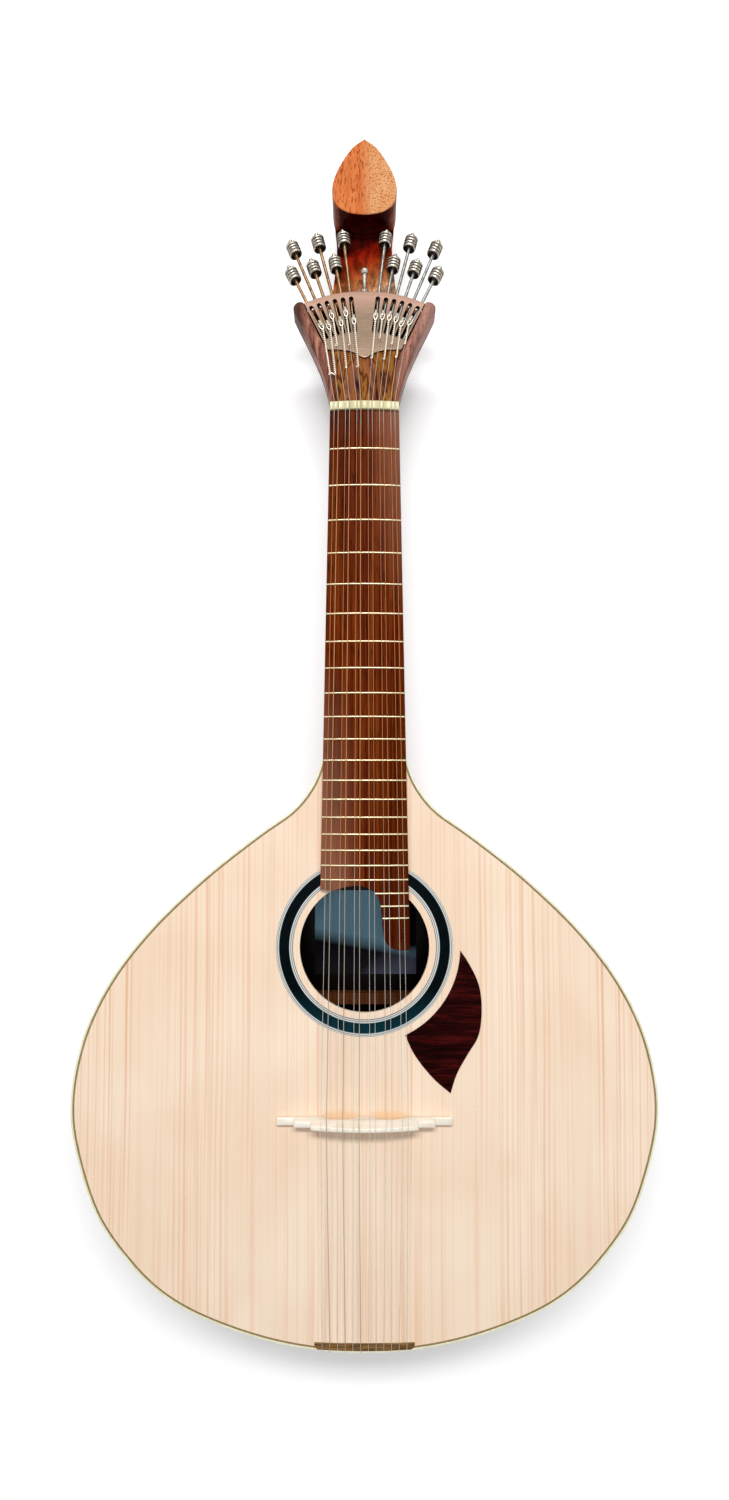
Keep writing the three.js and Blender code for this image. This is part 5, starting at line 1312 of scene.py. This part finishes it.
for place, angle in enumerate(ANGLES):
    number = str(place + 1)
    radius = WIRE[place]
    reach = HOOK_NEAR + (HOOK_FAR - HOOK_NEAR) * HOOK_SHARES[place]
    catch = beside_hook(angle, reach, 0, -3.6, THROAT)
    nut_at = Vector((nut_x[place], NUT_Y + NUT_LENGTH, nut_z[place]))
    x = tail_x[place]
    edge_y = SADDLE_Y - 0.6 * radius
    route = [Vector((x, PIN_Y, PIN_Z + 2.2)), Vector((x, PIN_Y, 69)),
             Vector((x, edge_y, 82.2)), Vector((x, edge_y + 0.3, STRIP_TOP - 0.4)),
             Vector((x, edge_y + 1.2, STRIP_TOP - 0.3 + radius)),
             Vector((x, NOTCH_END, STRIP_TOP + 0.1 + radius)),
             Vector((bridge_x[place], -BRIDGE_HALF, bridge_z[place])),
             Vector((bridge_x[place], BRIDGE_HALF, bridge_z[place])),
             Vector((nut_x[place], NUT_Y, nut_z[place])), nut_at, catch]
    turns = [2 * math.pi * turn / 16 for turn in range(17)]
    eye = [beside_hook(angle, reach, EYE_X * math.sin(turn), -0.4 - EYE_Y * math.cos(turn), THROAT)
           for turn in turns]
    turns = [2 * math.pi * turn / 12 for turn in range(13)]
    pin_eye = [Vector((x + PIN_EYE * math.sin(turn), PIN_Y, PIN_Z - PIN_EYE * math.cos(turn)))
               for turn in turns]
    back_to_nut = (nut_at - catch).normalized()
    corners, faces, _ = joined(
        wire(eye, TWIST_WIRE, 6), wire(pin_eye, TWIST_WIRE, 6),
        twist(catch, catch + TWISTS[place] * back_to_nut, radius, TWIST_WIRE, 2.6 if place == 1 else 0.8),
        twist(Vector((x, PIN_Y, PIN_Z + 1.6)), Vector((x, PIN_Y, 68.5)), radius, TWIST_WIRE))
    shape = joined(wire(route, radius), (corners, faces, range(len(faces))))
    string = shaped("steel_string_" + number, shape)
    string.data.materials.append(wound_steel if radius == WOUND_WIRE else drawn_steel)
    string.data.materials.append(loose_ends)
    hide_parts("string_" + number)
    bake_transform(string)

# The studio: a wide white floor, a white world, a large soft lamp beyond the head and a small one
# overhead. The floor is board painted a matt white, which keeps the object's soft shadow.
# The camera and reflections see the floor and the world brighter than they light the object.
FLOOR_HALF = 4
FLOOR_LEVEL = -0.0006
FLOOR_GLOW = 0.25
WORLD_LIGHT = 0.3


def seen_directly(tree):
    """1 where the camera sees it, itself, mirrored or through glass, and 0 where it lights others."""
    path = add(tree, "LightPath").outputs
    seen = add(tree, "Math", {0: path["Is Camera Ray"], 1: path["Is Glossy Ray"]}, use_clamp=True)
    return add(tree, "Math", {0: seen, 1: path["Is Transmission Ray"]}, use_clamp=True)


paint, tree, surface = new_finish("white_painted_floor", Roughness=0.8, Specular_IOR_Level=0.1,
                                  Base_Color="#f2f2f2", Emission_Color=WHITE)
glow = add(tree, "Math", {0: seen_directly(tree), 1: FLOOR_GLOW}, operation="MULTIPLY")
feed(glow, surface, "Emission Strength")
ground = bpy.data.meshes.new("studio_floor")
ground.from_pydata([(x * FLOOR_HALF, y * FLOOR_HALF, FLOOR_LEVEL)
                    for x, y in ((-1, -1), (1, -1), (1, 1), (-1, 1))], [], [(0, 1, 2, 3)])
ground.materials.append(paint)
floor = placed("studio_floor", ground)

sky = bpy.data.worlds.new("studio_world")
bpy.context.scene.world = sky
sky.use_nodes = True
backdrop = sky.node_tree.nodes["Background"]
backdrop.inputs["Color"].default_value = linear(WHITE)
strength = add(sky.node_tree, "MapRange", {0: seen_directly(sky.node_tree), 3: WORLD_LIGHT, 4: 1.0})
feed(strength, backdrop, "Strength")

LAMPS_AIM = Vector((0, 0.15, 0.05))
for name, spot, wide, deep, power in (("key_lamp", (0, 1.55, 2.25), 1.7, 0.4, 52.0),
                                      ("overhead_lamp", (-0.04, 0.2, 1.9), 0.4, 0.4, 5.2)):
    light = bpy.data.lights.new(name, "AREA")
    light.shape = "RECTANGLE"
    light.size = wide
    light.size_y = deep
    light.energy = power
    lamp = placed(name, light)
    lamp.location = spot
    lamp.rotation_euler = (LAMPS_AIM - Vector(spot)).to_track_quat("-Z", "Y").to_euler()

# The camera looks straight down from 0.68 m, tipped slightly towards the head.
# That is the photograph's own view of the instrument.
lens = bpy.data.cameras.new("camera")
lens.lens = 21.53
lens.sensor_width = 36
camera = placed("camera", lens)
camera.location = (0, 0.21165, 0.6796)
camera.rotation_euler = (math.radians(2.92), 0, 0)
bpy.context.scene.camera = camera
bpy.context.scene.view_settings.view_transform = "Standard"
